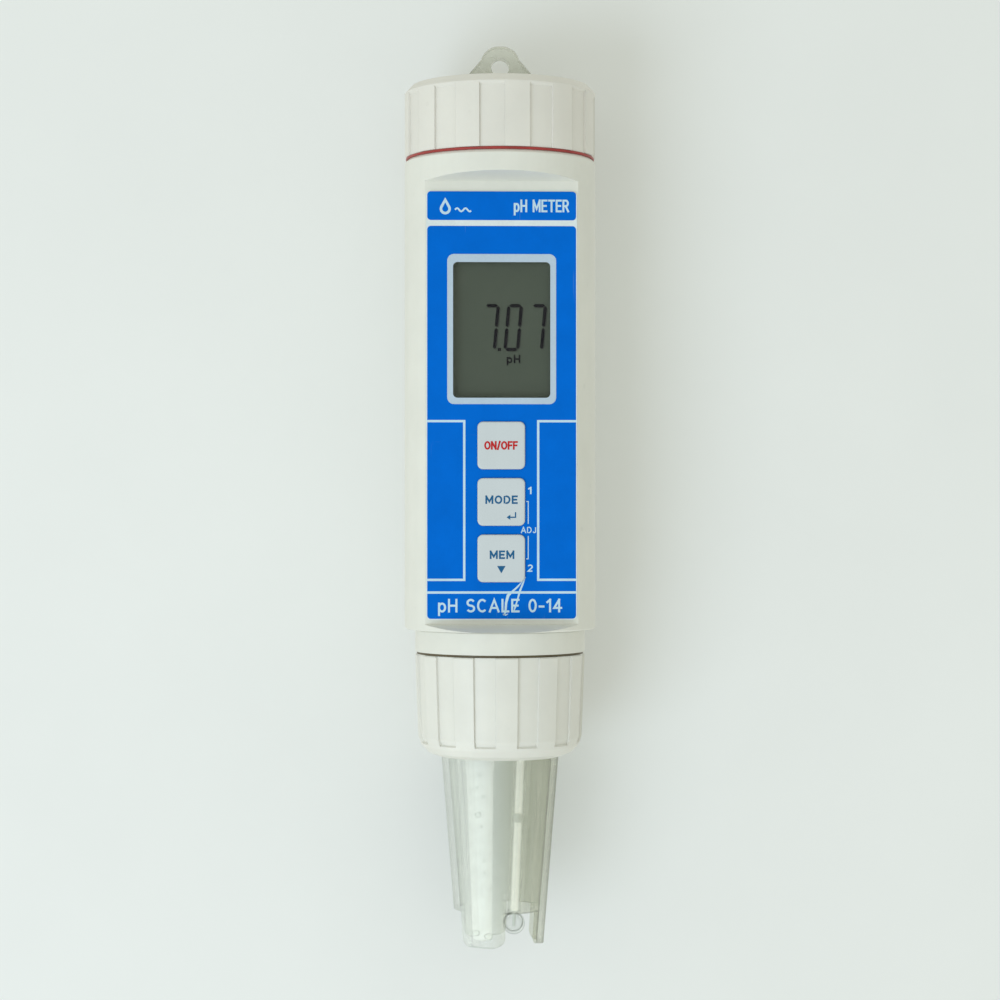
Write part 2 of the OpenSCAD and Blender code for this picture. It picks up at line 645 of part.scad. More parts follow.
// ---------------------------------------------------------------- collar nut
nut_low_r = nut_r - 0.65; // at the foot of its slight taper
module collar_nut() color(grip_color) {
    difference() {
        union() {
            // raised lands
            intersection() {
                rotate_extrude() polygon([[0, nut_top], [nut_r - 0.25, nut_top],
                    [nut_r, nut_top - 0.25], [nut_low_r, -nut_h + 4.1],
                    [nut_r - 1.15, -nut_h + 2.7], [0, -nut_h + 2.7]]);
                raise(-nut_h - 1) linear_extrude(nut_h + 2) land_sectors(nut_r + 1, -12);
            }
            // core at the depth of the recesses, with a rounded foot
            rotate_extrude() polygon([[0, nut_top], [nut_r - rib_depth, nut_top],
                [nut_low_r - rib_depth, -nut_h + 4.1],
                [nut_r - 1.05 - rib_depth, -nut_h + 3.1], [nut_r - 1.12, -nut_h + 2.8],
                [nut_r - 1.4, -nut_h + 2.2], [nut_r - 2.8, -nut_h + 0.8],
                [spigot_bore + 0.4, -nut_h], [0, -nut_h]]);
        }
        raise(-nut_lip) cylinder(r = spigot_r + 0.4, h = nut_lip + 1);
        raise(shell_rim_z - 0.1) cylinder(r = nut_bore_r, h = 20);
        raise(-nut_h - 1) cylinder(r = spigot_bore + 0.05, h = 30);
    }
    inner_thread(nut_bore_r, nut_rib_h, nut_thread_z, 3);
}

main_tube();
lower_end_ring();
tube_seal_ring();
nut_gasket();
front_label();
window_lens();
lcd_glass();
lcd_frame();
zebra_strips();
main_pcb();
processor_chip();
input_amplifier();
crystal_can();
capacitors();
trimmer_pots();
switch_bodies();
pcb_screws();
battery_carrier();
battery_cells();
battery_springs();
contact_plates();
battery_lead_red();
battery_lead_black();
probe_socket();
socket_nut();
socket_insulator();
signal_lead();
cap_seal_ring();
cap_shell();
hanger_eye();
cap_pad();
power_key();
hold_key();
record_key();
power_switch_button();
hold_switch_button();
record_switch_button();
electrode_shell();
electrode_head();
probe_seal_ring();
plug_shell();
plug_pin();
glass_stem();
glass_bulb();
sensing_wire();
stem_collar();
reference_tube();
reference_wire();
junction_plug();
collar_nut();
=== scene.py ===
import math
import random

import bpy
import bmesh
from mathutils import Matrix, Vector, noise


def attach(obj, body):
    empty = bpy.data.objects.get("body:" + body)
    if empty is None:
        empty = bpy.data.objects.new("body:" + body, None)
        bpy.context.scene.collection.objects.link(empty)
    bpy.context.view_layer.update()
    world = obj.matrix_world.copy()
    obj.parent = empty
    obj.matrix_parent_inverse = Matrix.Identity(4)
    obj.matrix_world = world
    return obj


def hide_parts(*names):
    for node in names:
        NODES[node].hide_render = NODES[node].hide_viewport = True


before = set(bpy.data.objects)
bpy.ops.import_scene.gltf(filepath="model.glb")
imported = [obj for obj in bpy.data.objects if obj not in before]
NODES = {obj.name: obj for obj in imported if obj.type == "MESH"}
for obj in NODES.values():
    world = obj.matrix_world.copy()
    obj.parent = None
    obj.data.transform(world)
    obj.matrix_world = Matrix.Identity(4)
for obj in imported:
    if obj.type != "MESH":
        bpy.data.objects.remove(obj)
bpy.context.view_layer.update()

MM = 0.001
scene = bpy.context.scene
random.seed(7)


# ------------------------------------------------------------------ colours and node graphs
def lin(r, g, b):
    def f(c):
        c /= 255
        return c / 12.92 if c <= 0.04045 else ((c + 0.055) / 1.055) ** 2.4
    return (f(r), f(g), f(b), 1)


def scaled(c, k):
    return (c[0] * k, c[1] * k, c[2] * k, 1)


class Graph:
    """A material's node tree, with short ways to add and join nodes."""

    def __init__(self, name):
        self.m = bpy.data.materials.new(name)
        self.m.use_nodes = True
        self.t = self.m.node_tree
        self.t.nodes.clear()
        self.out = self.t.nodes.new("ShaderNodeOutputMaterial")
        self.tc = self.t.nodes.new("ShaderNodeTexCoord")
        self.obj = self.tc.outputs["Object"]

    def n(self, kind, ins=None, **props):
        node = self.t.nodes.new("ShaderNode" + kind)
        for k, v in props.items():
            setattr(node, k, v)
        for k, v in (ins or {}).items():
            sock = node.inputs[k]
            if isinstance(v, bpy.types.NodeSocket):
                self.t.links.new(v, sock)
            else:
                sock.default_value = v
        return node

    def noise(self, scale, detail=3.0, rough=0.5, vec=None, dist=0.0):
        return self.n("TexNoise", {"Vector": vec or self.obj, "Scale": scale, "Detail": detail, "Roughness": rough,
                                   "Distortion": dist}).outputs["Fac"]

    def math(self, op, a, b=0.0, c=0.0, clamp=False):
        node = self.n("Math", {0: a, 1: b, 2: c}, operation=op)
        node.use_clamp = clamp
        return node.outputs[0]

    def range(self, v, a, b, c, d, kind="LINEAR"):
        return self.n("MapRange", {"Value": v, "From Min": a, "From Max": b, "To Min": c, "To Max": d},
                      interpolation_type=kind).outputs["Result"]

    def mix(self, f, a, b, mode="MIX"):
        node = self.n("Mix", {0: f, 6: a, 7: b}, data_type="RGBA", blend_type=mode)
        return node.outputs[2]

    def stretch(self, sx, sy, sz):
        return self.n("Mapping", {"Vector": self.obj, "Scale": (sx, sy, sz)}).outputs[0]

    def bump(self, height, depth_mm, normal=None, strength=1.0):
        ins = {"Height": height, "Distance": depth_mm * MM, "Strength": strength}
        if normal is not None:
            ins["Normal"] = normal
        return self.n("Bump", ins).outputs[0]

    def finish(self, shader):
        self.t.links.new(shader, self.out.inputs["Surface"])
        return self.m


def edge_mask(g, r_mm):
    """(rounded normal, mask that is 1 along convex and concave edges)"""
    bev = g.n("Bevel", {"Radius": r_mm * MM}, samples=6).outputs[0]
    geo = g.n("NewGeometry").outputs["Normal"]
    dot = g.n("VectorMath", {0: bev, 1: geo}, operation="DOT_PRODUCT").outputs["Value"]
    return bev, g.range(dot, 0.97, 0.75, 0.0, 1.0)


def moulded(name, col, rough=0.42, grain=0.22, depth=0.008, mottle=0.035, edge=0.16, wear=0.10, wear_col=None,
            spec=0.5, sss=0.0, coat=0.0, dust=0.0, glow=0.0, fade=None):
    """Moulded plastic: fine grain, soft colour variation, uneven gloss, rounded and slightly rubbed edges."""
    g = Graph(name)
    bev, edges = edge_mask(g, edge)
    big = g.noise(95, 4, 0.6)
    col_a = g.mix(g.range(big, 0.3, 0.7, 0, 1), scaled(col, 1 - mottle), scaled(col, 1 + mottle))
    # faint flow lines down the length of the moulding
    flow = g.noise(1.0, 2, 0.5, vec=g.stretch(420, 420, 9))
    col_b = g.mix(g.range(flow, 0.35, 0.65, 0, 0.35), col_a, scaled(col, 0.965))
    rub = g.math("MULTIPLY", edges, g.range(g.noise(700, 3, 0.7), 0.42, 0.68, 0.15, 1.0))
    rub = g.math("MULTIPLY", rub, wear)
    col_c = g.mix(rub, col_b, wear_col or scaled(col, 1.12))
    if dust:
        specks = g.n("TexVoronoi", {"Vector": g.obj, "Scale": 260}, feature="F1").outputs["Distance"]
        gate = g.range(g.noise(120, 2), 0.56, 0.62, 0, dust)
        spot = g.math("MULTIPLY", g.range(specks, 0.10, 0.16, 1, 0), gate)
        col_c = g.mix(spot, col_c, scaled(col, 0.62))
    fine = g.noise(1000 / grain, 2, 0.6)
    pits = g.n("TexVoronoi", {"Vector": g.obj, "Scale": 1000 / (grain * 2.2)}, feature="SMOOTH_F1").outputs["Distance"]
    h = g.math("ADD", fine, g.math("MULTIPLY", pits, 0.35))
    nrm = g.bump(h, depth, bev)
    r = g.range(g.noise(55, 3, 0.6), 0.3, 0.7, rough - 0.06, rough + 0.08)
    r = g.math("SUBTRACT", r, g.math("MULTIPLY", rub, 0.25))
    # below fade's lower height the colour turns to fade's colour and the painted glow stops
    if fade:
        k = g.range(g.n("SeparateXYZ", {0: g.obj}).outputs["Z"], fade[0], fade[1], 0, 1)
        col_c = g.mix(k, fade[2], col_c)
        glow = g.math("MULTIPLY", k, glow)
    # painted light: glow makes the part emit light in its own colour, as though more light reached it
    b = g.n("BsdfPrincipled", {"Base Color": col_c, "Roughness": r, "Normal": nrm, "Specular IOR Level": spec,
                               "Subsurface Weight": sss, "Subsurface Radius": (0.004, 0.0035, 0.003),
                               "Subsurface Scale": 0.35, "Coat Weight": coat, "Coat Roughness": 0.2,
                               "Emission Color": col_c, "Emission Strength": glow})
    return g.finish(b.outputs[0])


def film(name, col, rough=0.36, wear=0.5, weave=0.006, spec=0.45, speckle=0.22, bounce=None):
    """Printed polyester film: satin, with fine orange peel, hair scratches and slightly uneven ink."""
    g = Graph(name)
    ink = g.noise(150, 4, 0.65)
    c = g.mix(g.range(ink, 0.3, 0.7, 0, 1), scaled(col, 0.95), scaled(col, 1.06))
    speck = g.noise(2300, 2, 0.6)
    c = g.mix(g.range(speck, 0.35, 0.7, 0, speckle), c, scaled(col, 1.28))
    s1 = g.noise(1.0, 2, 0.5, vec=g.stretch(2600, 1, 60))
    s2 = g.noise(1.0, 2, 0.5, vec=g.stretch(90, 1, 2900))
    hair = g.math("MAXIMUM", g.range(s1, 0.70, 0.76, 0, 1), g.range(s2, 0.71, 0.77, 0, 1))
    hair = g.math("MULTIPLY", hair, g.range(g.noise(40, 2), 0.5, 0.65, 0, wear))
    c = g.mix(g.math("MULTIPLY", hair, 0.25), c, (0.75, 0.8, 0.85, 1))
    if bounce:
        c = g.mix(g.math("MULTIPLY", g.n("LightPath").outputs["Is Diffuse Ray"], 0.85), c, bounce)
    peel = g.noise(1400, 2, 0.5)
    nrm = g.bump(g.math("ADD", peel, g.math("MULTIPLY", hair, -0.6)), weave)
    r = g.range(g.noise(70, 3), 0.3, 0.7, rough - 0.05, rough + 0.06)
    r = g.math("ADD", r, g.math("MULTIPLY", hair, 0.2))
    b = g.n("BsdfPrincipled", {"Base Color": c, "Roughness": r, "Normal": nrm, "Specular IOR Level": spec})
    return g.finish(b.outputs[0])


def rubber(name, col, rough=0.55, glow=None):
    g = Graph(name)
    bev, edges = edge_mask(g, 0.12)
    c = g.mix(g.range(g.noise(240, 3), 0.3, 0.7, 0, 1), scaled(col, 0.86), scaled(col, 1.12))
    bloom = g.math("MULTIPLY", g.range(g.noise(900, 3, 0.7), 0.55, 0.8, 0, 0.25), 0.6)
    c = g.mix(bloom, c, (0.5, 0.5, 0.48, 1) if not glow else glow)
    nrm = g.bump(g.noise(3600, 2, 0.6), 0.006, bev)
    b = g.n("BsdfPrincipled", {"Base Color": c, "Roughness": g.range(g.noise(120, 2), 0.3, 0.7, rough - 0.08, rough + 0.08),
                               "Normal": nrm, "Sheen Weight": 0.12, "Sheen Roughness": 0.4})
    return g.finish(b.outputs[0])


def metal(name, col, rough=0.28, brushed=None, tarnish=0.15, plated=True):
    g = Graph(name)
    bev, edges = edge_mask(g, 0.08)
    v = g.stretch(*(brushed or (600, 600, 600)))
    lines = g.noise(3.0, 3, 0.6, vec=v)
    c = g.mix(g.range(lines, 0.3, 0.7, 0, 1), scaled(col, 0.9), scaled(col, 1.06))
    spots = g.range(g.noise(330, 4, 0.7), 0.55, 0.75, 0, tarnish)
    c = g.mix(spots, c, (0.28, 0.22, 0.15, 1))
    nrm = g.bump(lines, 0.004, bev)
    r = g.math("ADD", g.range(lines, 0.3, 0.7, rough - 0.06, rough + 0.08), g.math("MULTIPLY", spots, 0.6))
    b = g.n("BsdfPrincipled", {"Base Color": c, "Metallic": 1.0, "Roughness": r, "Normal": nrm})
    return g.finish(b.outputs[0])


def clear(name, tint, rough=0.06, ior=1.49, shadow=0.82, haze=0.0, haze_col=(0.8, 0.83, 0.78, 1), wave=0.01, wave_mm=3.0,
          solid=1.0, smear=0.3, rim=0.0, milk_through=0.0, glow=0.0, painted_shade=None):
    """Clear plastic or glass. Light that only casts shadow passes through tinted, and a share of haze scatters.
    painted_shade is (from, to, tint, axis, rim share): painted shade, a deeper tint along one axis on the side away
    from the light."""
    g = Graph(name)
    w = g.noise(1000 / wave_mm, 2, 0.5)
    fine = g.noise(2500, 2, 0.5)
    nrm = g.bump(g.math("ADD", w, g.math("MULTIPLY", fine, 0.08)), wave)
    c = g.mix(g.range(g.noise(160, 3), 0.3, 0.7, 0, 1), scaled(tint, 0.985), tint)
    # painted shade: the tint deepens along one axis, towards the side away from the light
    if painted_shade:
        across = g.n("SeparateXYZ", {0: g.obj}).outputs[painted_shade[3]]
        c = g.mix(g.range(across, painted_shade[0], painted_shade[1], 0, 1), c, painted_shade[2])
    # painted shade: surfaces seen edge-on are darkened towards a dark grey, more on the painted-shade side
    if rim:
        side = g.range(g.n("LayerWeight", {"Blend": 0.5}).outputs["Facing"], 0.62, 0.9, 0, rim)
        if painted_shade:
            side = g.math("MULTIPLY", side, g.range(across, painted_shade[4][0], painted_shade[4][1], 0.35, 1.0))
        c = g.mix(side, c, (0.16, 0.18, 0.17, 1))
    dirty = g.range(g.noise(210, 4, 0.65), 0.45, 0.7, 0, smear)
    r = g.math("ADD", rough, g.math("MULTIPLY", dirty, 0.12))
    glass = g.n("BsdfPrincipled", {"Base Color": c, "Roughness": r, "IOR": ior, "Transmission Weight": 1.0, "Normal": nrm}).outputs[0]
    thin = g.n("BsdfTransparent", {"Color": c}).outputs[0]
    body = g.n("MixShader", {0: solid, 1: thin, 2: glass}).outputs[0]
    if haze:
        milk = g.n("BsdfDiffuse", {"Color": haze_col, "Roughness": 0.3}).outputs[0]
        if milk_through:
            back = g.n("BsdfTranslucent", {"Color": haze_col}).outputs[0]
            milk = g.n("MixShader", {0: milk_through, 1: milk, 2: back}).outputs[0]
        # painted light: the haze also emits light, so the part looks more lit than the lamps make it
        if glow:
            lit = g.n("Emission", {"Color": haze_col, "Strength": glow}).outputs[0]
            milk = g.n("AddShader", {0: milk, 1: lit}).outputs[0]
        amount = g.math("MULTIPLY", g.range(g.noise(120, 3, 0.6), 0.3, 0.7, 0.75, 1.15), haze)
        body = g.n("MixShader", {0: amount, 1: body, 2: milk}).outputs[0]
    pass_ = g.n("BsdfTransparent", {"Color": scaled(tint, shadow)}).outputs[0]
    lp = g.n("LightPath")
    only = g.math("MAXIMUM", lp.outputs["Is Shadow Ray"], lp.outputs["Is Diffuse Ray"])
    return g.finish(g.n("MixShader", {0: only, 1: body, 2: pass_}).outputs[0])


# ------------------------------------------------------------------ shapes
def rr(w, h, r, n=8, cx=0.0, cz=0.0):
    """Rounded rectangle outline in X and Z, in mm, anticlockwise."""
    pts = []
    for sx, sz, a0 in ((1, 1, 0), (-1, 1, 90), (-1, -1, 180), (1, -1, 270)):
        for i in range(n + 1):
            a = math.radians(a0 + 90 * i / n)
            pts.append((cx + sx * (w / 2 - r) + r * math.cos(a), cz + sz * (h / 2 - r) + r * math.sin(a)))
    return pts


def place(obj, name, mat, body):
    obj.name = name
    if obj.data is not None:
        obj.data.name = name
        obj.data.materials.clear()
        obj.data.materials.append(mat)
    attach(obj, body)
    return obj


def mesh_piece(name, verts, faces, mat, body, smooth=True):
    me = bpy.data.meshes.new(name)
    me.from_pydata([tuple(c * MM for c in v) for v in verts], [], faces)
    bm = bmesh.new()
    bm.from_mesh(me)
    bmesh.ops.recalc_face_normals(bm, faces=bm.faces)
    bm.to_mesh(me)
    bm.free()
    for p in me.polygons:
        p.use_smooth = smooth
    ob = bpy.data.objects.new(name, me)
    scene.collection.objects.link(ob)
    return place(ob, name, mat, body)


def to_front(me, y_front, thick):
    """Turns a mesh drawn in X and Y, in mm, to face -Y with its front at y = -y_front."""
    for v in me.vertices:
        x, y, z = v.co
        v.co = (x * MM, (thick / 2 - y_front - z) * MM, y * MM)
    me.update()


def curve_mesh(curve):
    tmp = bpy.data.objects.new("tmp", curve)
    scene.collection.objects.link(tmp)
    bpy.context.view_layer.update()
    me = bpy.data.meshes.new_from_object(tmp.evaluated_get(bpy.context.evaluated_depsgraph_get()))
    bpy.data.objects.remove(tmp)
    return me


def clean(me):
    bm = bmesh.new()
    bm.from_mesh(me)
    bmesh.ops.remove_doubles(bm, verts=bm.verts, dist=1e-7)
    bmesh.ops.recalc_face_normals(bm, faces=bm.faces)
    bm.to_mesh(me)
    bm.free()


def flat_piece(name, loops, y_front, thick, mat, body, bevel=0.0):
    """A thin print or plate with the given outlines. A loop inside another is a hole."""
    cu = bpy.data.curves.new(name, "CURVE")
    cu.dimensions = "2D"
    cu.fill_mode = "BOTH"
    cu.extrude = thick / 2 - bevel
    cu.bevel_depth = bevel
    cu.bevel_resolution = 3
    if bevel:
        cu.offset = -bevel
    for loop in loops:
        sp = cu.splines.new("POLY")
        sp.points.add(len(loop) - 1)
        for p, (x, z) in zip(sp.points, loop):
            p.co = (x, z, 0, 1)
        sp.use_cyclic_u = True
    me = curve_mesh(cu)
    bpy.data.curves.remove(cu)
    to_front(me, y_front, thick)
    clean(me)
    ob = bpy.data.objects.new(name, me)
    scene.collection.objects.link(ob)
    return place(ob, name, mat, body)


def text_piece(name, text, cap_h, x, z, y_front, thick, mat, body, slot=None, width=None, bold=0.0, align="CENTER", shear=0.0):
    """Letters whose capitals are cap_h mm tall, on a line at z, squeezed or stretched to the given width."""
    def make(s):
        cu = bpy.data.curves.new(name, "FONT")
        cu.body = s
        cu.size = 1.0
        cu.offset = bold
        cu.resolution_u = 4
        me = curve_mesh(cu)
        bpy.data.curves.remove(cu)
        return me
    ref = make("H")
    hh = max(v.co.y for v in ref.vertices) - min(v.co.y for v in ref.vertices)
    base = min(v.co.y for v in ref.vertices)
    k = cap_h / hh
    cu = bpy.data.curves.new(name, "FONT")
    cu.body = text
    cu.size = 1.0
    cu.offset = bold
    cu.resolution_u = 5
    cu.extrude = thick / 2 / k
    me = curve_mesh(cu)
    bpy.data.curves.remove(cu)
    x0 = min(v.co.x for v in me.vertices)
    x1 = max(v.co.x for v in me.vertices)
    kx = width / (x1 - x0) if width else k
    shift = {"LEFT": 0.0, "CENTER": 0.5, "RIGHT": 1.0}[align]
    for v in me.vertices:
        yy = (v.co.y - base) * k
        v.co = ((v.co.x - x0 - shift * (x1 - x0)) * kx + x + yy * shear, yy + z, v.co.z * k)
    to_front(me, y_front, thick)
    clean(me)
    ob = bpy.data.objects.new(name, me)
    scene.collection.objects.link(ob)
    return place(ob, name, mat, body)


def joined(name, groups, y_front, thick, mat, body):
    """One piece made of several thin prints, each a layer number and a list of outlines."""
    bm = bmesh.new()
    for layer, loops in groups:
        cu = bpy.data.curves.new(name, "CURVE")
        cu.dimensions = "2D"
        cu.fill_mode = "BOTH"
        cu.extrude = thick / 2
        for loop in loops:
            sp = cu.splines.new("POLY")
            sp.points.add(len(loop) - 1)
            for p, (x, z) in zip(sp.points, loop):
                p.co = (x, z, 0, 1)
            sp.use_cyclic_u = True
        me = curve_mesh(cu)
        bpy.data.curves.remove(cu)
        part = bmesh.new()
        part.from_mesh(me)
        bmesh.ops.remove_doubles(part, verts=part.verts, dist=1e-4)
        bmesh.ops.recalc_face_normals(part, faces=part.faces)
        for v in part.verts:
            v.co.z += 0.004 * layer
        part.to_mesh(me)
        part.free()
        bm.from_mesh(me)
        bpy.data.meshes.remove(me)
    me = bpy.data.meshes.new(name)
    bm.to_mesh(me)
    bm.free()
    to_front(me, y_front, thick)
    me.flip_normals() if mesh_inside_out(me) else None
    ob = bpy.data.objects.new(name, me)
    scene.collection.objects.link(ob)
    return place(ob, name, mat, body)


def mesh_inside_out(me):
    vol = 0.0
    me.calc_loop_triangles()
    for t in me.loop_triangles:
        a, b, c = (me.vertices[i].co for i in t.vertices)
        vol += a.dot(b.cross(c))
    return vol < 0


def line_loop(points, w, grow=0.0):
    """The outline of a line of width w mm through points, with square ends grown by the given length and mitred corners."""
    points = [tuple(p) for p in points]
    if grow:
        for i, j in ((0, 1), (-1, -2)):
            dx, dz = points[i][0] - points[j][0], points[i][1] - points[j][1]
            k = grow / math.hypot(dx, dz)
            points[i] = (points[i][0] + dx * k, points[i][1] + dz * k)
    left, right = [], []
    for i, (x, z) in enumerate(points):
        dirs = []
        if i > 0:
            dx, dz = x - points[i - 1][0], z - points[i - 1][1]
            dirs.append((dx / math.hypot(dx, dz), dz / math.hypot(dx, dz)))
        if i < len(points) - 1:
            dx, dz = points[i + 1][0] - x, points[i + 1][1] - z
            dirs.append((dx / math.hypot(dx, dz), dz / math.hypot(dx, dz)))
        tx, tz = sum(d[0] for d in dirs), sum(d[1] for d in dirs)
        k = math.hypot(tx, tz)
        tx, tz = tx / k, tz / k
        nx, nz = -tz, tx
        cosh = dirs[0][0] * tx + dirs[0][1] * tz
        s = w / 2 / max(cosh, 0.4)
        left.append((x + nx * s, z + nz * s))
        right.append((x - nx * s, z - nz * s))
    return left + right[::-1]


def curve_points(cx, cz, rx, rz, a0, a1, n=10):
    return [(cx + rx * math.cos(math.radians(a0 + (a1 - a0) * i / n)), cz + rz * math.sin(math.radians(a0 + (a1 - a0) * i / n)))
            for i in range(n + 1)]


# Letters as strokes in a box 1 high: (width, open strokes, closed strokes)
GLYPHS = {
    "A": (0.78, [[(0, 0), (0.39, 1), (0.78, 0)], [(0.16, 0.3), (0.62, 0.3)]], []),
    "C": (0.70, [curve_points(0.38, 0.5, 0.38, 0.5, 45, 315, 16)], []),
    "D": (0.68, [], [[(0, 0), (0, 1)] + curve_points(0.28, 0.5, 0.40, 0.5, 90, -90, 14)]),
    "E": (0.56, [[(0.56, 1), (0, 1), (0, 0), (0.56, 0)], [(0, 0.5), (0.48, 0.5)]], []),
    "F": (0.54, [[(0.54, 1), (0, 1), (0, 0)], [(0, 0.5), (0.46, 0.5)]], []),
    "J": (0.46, [[(0.46, 1), (0.46, 0.24)] + curve_points(0.23, 0.24, 0.23, 0.24, -15, -165, 8)], []),
    "H": (0.66, [[(0, 0), (0, 1)], [(0.66, 0), (0.66, 1)], [(0, 0.5), (0.66, 0.5)]], []),
    "L": (0.52, [[(0, 1), (0, 0), (0.52, 0)]], []),
    "M": (0.82, [[(0, 0), (0, 1)], [(0.82, 0), (0.82, 1)], [(0, 1), (0.41, 0.22), (0.82, 1)]], []),
    "N": (0.66, [[(0, 0), (0, 1)], [(0.66, 0), (0.66, 1)], [(0, 1), (0.66, 0)]], []),
    "O": (0.78, [], [curve_points(0.39, 0.5, 0.39, 0.5, 0, 345, 23)]),
    "R": (0.62, [[(0, 0), (0, 1)], [(0, 1), (0.34, 1)] + curve_points(0.34, 0.74, 0.26, 0.26, 80, -80, 8) + [(0.34, 0.48), (0, 0.48)],
                 [(0.32, 0.48), (0.64, 0)]], []),
    "S": (0.60, [curve_points(0.30, 0.75, 0.29, 0.25, 25, 270, 12) + curve_points(0.30, 0.25, 0.30, 0.25, 80, -155, 12)], []),
    "T": (0.66, [[(0, 1), (0.66, 1)], [(0.33, 1), (0.33, 0)]], []),
    "p": (0.54, [[(0, 0.68), (0, -0.3)]], [curve_points(0.27, 0.34, 0.27, 0.34, 0, 345, 23)]),
    "0": (0.56, [], [curve_points(0.28, 0.5, 0.28, 0.5, 0, 345, 23)]),
    "1": (0.26, [[(0, 0.8), (0.24, 1)], [(0.24, 1), (0.24, 0)]], []),
    "2": (0.54, [curve_points(0.27, 0.72, 0.27, 0.28, 160, -35, 10) + [(0, 0), (0.56, 0)]], []),
    "4": (0.60, [[(0.44, 0), (0.44, 1)], [(0.44, 1), (0, 0.3), (0.62, 0.3)]], []),
    "-": (0.34, [[(0, 0.42), (0.34, 0.42)]], []),
    "/": (0.34, [[(0, -0.05), (0.34, 1.05)]], []),
    " ": (0.28, [], []),
}


def letters(name, text, cap_h, x, z, y_front, thick, mat, body, width, weight=0.17, align="CENTER", gap=0.20):
    """Block letters drawn as strokes, cap_h mm tall, standing on a line at z and filling the given width."""
    adv = []
    total = 0.0
    for ch in text:
        adv.append(total)
        total += GLYPHS[ch][0] + weight + gap
    total -= gap
    kx = width / (total * cap_h)
    w = weight * cap_h
    left = x - {"LEFT": 0.0, "CENTER": 0.5, "RIGHT": 1.0}[align] * width
    groups = []
    for ch, a in zip(text, adv):
        _, opens, closed = GLYPHS[ch]

        def put(p):
            return (left + ((a + p[0]) * cap_h + w / 2) * kx, z + w / 2 + p[1] * (cap_h - w))
        for i, st in enumerate(opens):
            groups.append((i + 1, [line_loop([put(p) for p in st], w, grow=w / 2 if len(st) < 5 else 0.0)]))
        for st in closed:
            pts = [put(p) for p in st]
            cx, cz = sum(p[0] for p in pts) / len(pts), sum(p[1] for p in pts) / len(pts)
            outer, inner = [], []
            n = len(pts)
            for i, p in enumerate(pts):
                q0, q1 = pts[i - 1], pts[(i + 1) % n]
                dx, dz = q1[0] - q0[0], q1[1] - q0[1]
                k = math.hypot(dx, dz)
                nx, nz = dz / k, -dx / k
                if (p[0] - cx) * nx + (p[1] - cz) * nz < 0:
                    nx, nz = -nx, -nz
                outer.append((p[0] + nx * w / 2, p[1] + nz * w / 2))
                inner.append((p[0] - nx * w / 2, p[1] - nz * w / 2))
            groups.append((0, [outer, inner]))
    return joined(name, groups, y_front, thick, mat, body)


def lofted(name, rings, mat, body, levels=0):
    """A closed solid through rings of points with the same count, in mm, capped at both ends."""
    verts = [p for ring in rings for p in ring]
    n = len(rings[0])
    faces = []
    for i in range(len(rings) - 1):
        for j in range(n):
            a, b = i * n + j, i * n + (j + 1) % n
            faces.append((a, b, b + n, a + n))
    for ring_at, flip in ((0, True), (len(rings) - 1, False)):
        ids = list(range(ring_at * n, ring_at * n + n))
        centre = len(verts)
        verts.append(tuple(sum(verts[i][k] for i in ids) / n for k in range(3)))
        for j in range(n):
            a, b = ids[j], ids[(j + 1) % n]
            faces.append((b, a, centre) if flip else (a, b, centre))
    ob = mesh_piece(name, verts, faces, mat, body)
    if levels:
        s = ob.modifiers.new("soft", "SUBSURF")
        s.levels = s.render_levels = levels
    return ob


def ring_y(outline, y):
    return [(x, y, z) for x, z in outline]


# ------------------------------------------------------------------ materials
WHITE = (0.765, 0.765, 0.715, 1)
M = {}
M["abs"] = moulded("housing_plastic", WHITE, rough=0.40, sss=0.06, dust=0.12)
M["abs_cap"] = moulded("cap_plastic", (0.765, 0.745, 0.70, 1), rough=0.42, sss=0.06, edge=0.2, wear=0.16, dust=0.1)
M["abs_nut"] = moulded("nut_plastic", (0.775, 0.77, 0.725, 1), rough=0.42, sss=0.06, edge=0.2, wear=0.16, dust=0.1)
M["film_white"] = film("film_white", (0.70, 0.77, 0.80, 1), rough=0.33)
M["ink_blue"] = film("ink_blue", (0.0, 0.140, 0.655, 1), rough=0.5, wear=0.8, spec=0.035, speckle=0.08, bounce=(0.17, 0.17, 0.14, 1))
M["ink_white"] = film("ink_white", (0.54, 0.72, 0.85, 1), rough=0.4, spec=0.2, speckle=0.08)
M["frame_ink"] = film("window_border", (0.46, 0.57, 0.70, 1), rough=0.38)
M["key"] = moulded("key_silicone", (0.60, 0.65, 0.69, 1), rough=0.46, grain=0.18, depth=0.006, mottle=0.02, edge=0.05, wear=0.05)
M["ink_red"] = film("ink_red", lin(190, 38, 40), rough=0.5, spec=0.1, speckle=0.05)
M["ink_navy"] = film("ink_navy", lin(36, 96, 142), rough=0.5, spec=0.1, speckle=0.05)
M["digit"] = film("display_digit", lin(22, 16, 28), rough=0.6, wear=0, spec=0.05, speckle=0.03)
M["digit_shadow"] = film("display_digit_shadow", lin(56, 58, 54), rough=0.5, wear=0)
M["red_ring"] = rubber("seal_silicone", lin(160, 50, 46), rough=0.5, glow=lin(185, 84, 76))
M["black_rubber"] = rubber("black_rubber", (0.02, 0.02, 0.02, 1))
M["brown_rubber"] = rubber("gasket_rubber", (0.10, 0.075, 0.035, 1))
M["foam"] = rubber("foam_pad", (0.045, 0.045, 0.05, 1), rough=0.8)
M["pink"] = rubber("contact_elastomer", (0.55, 0.38, 0.34, 1))
M["black_plastic"] = moulded("black_plastic", (0.03, 0.03, 0.033, 1), rough=0.5, wear=0.35, wear_col=(0.12, 0.12, 0.12, 1))
M["white_part"] = moulded("white_insulator", (0.78, 0.78, 0.74, 1), rough=0.45)
M["ceramic"] = moulded("unglazed_ceramic", (0.86, 0.86, 0.83, 1), rough=0.7, grain=0.12, depth=0.01)
M["ivory"] = moulded("ivory_button", (0.7, 0.66, 0.55, 1))
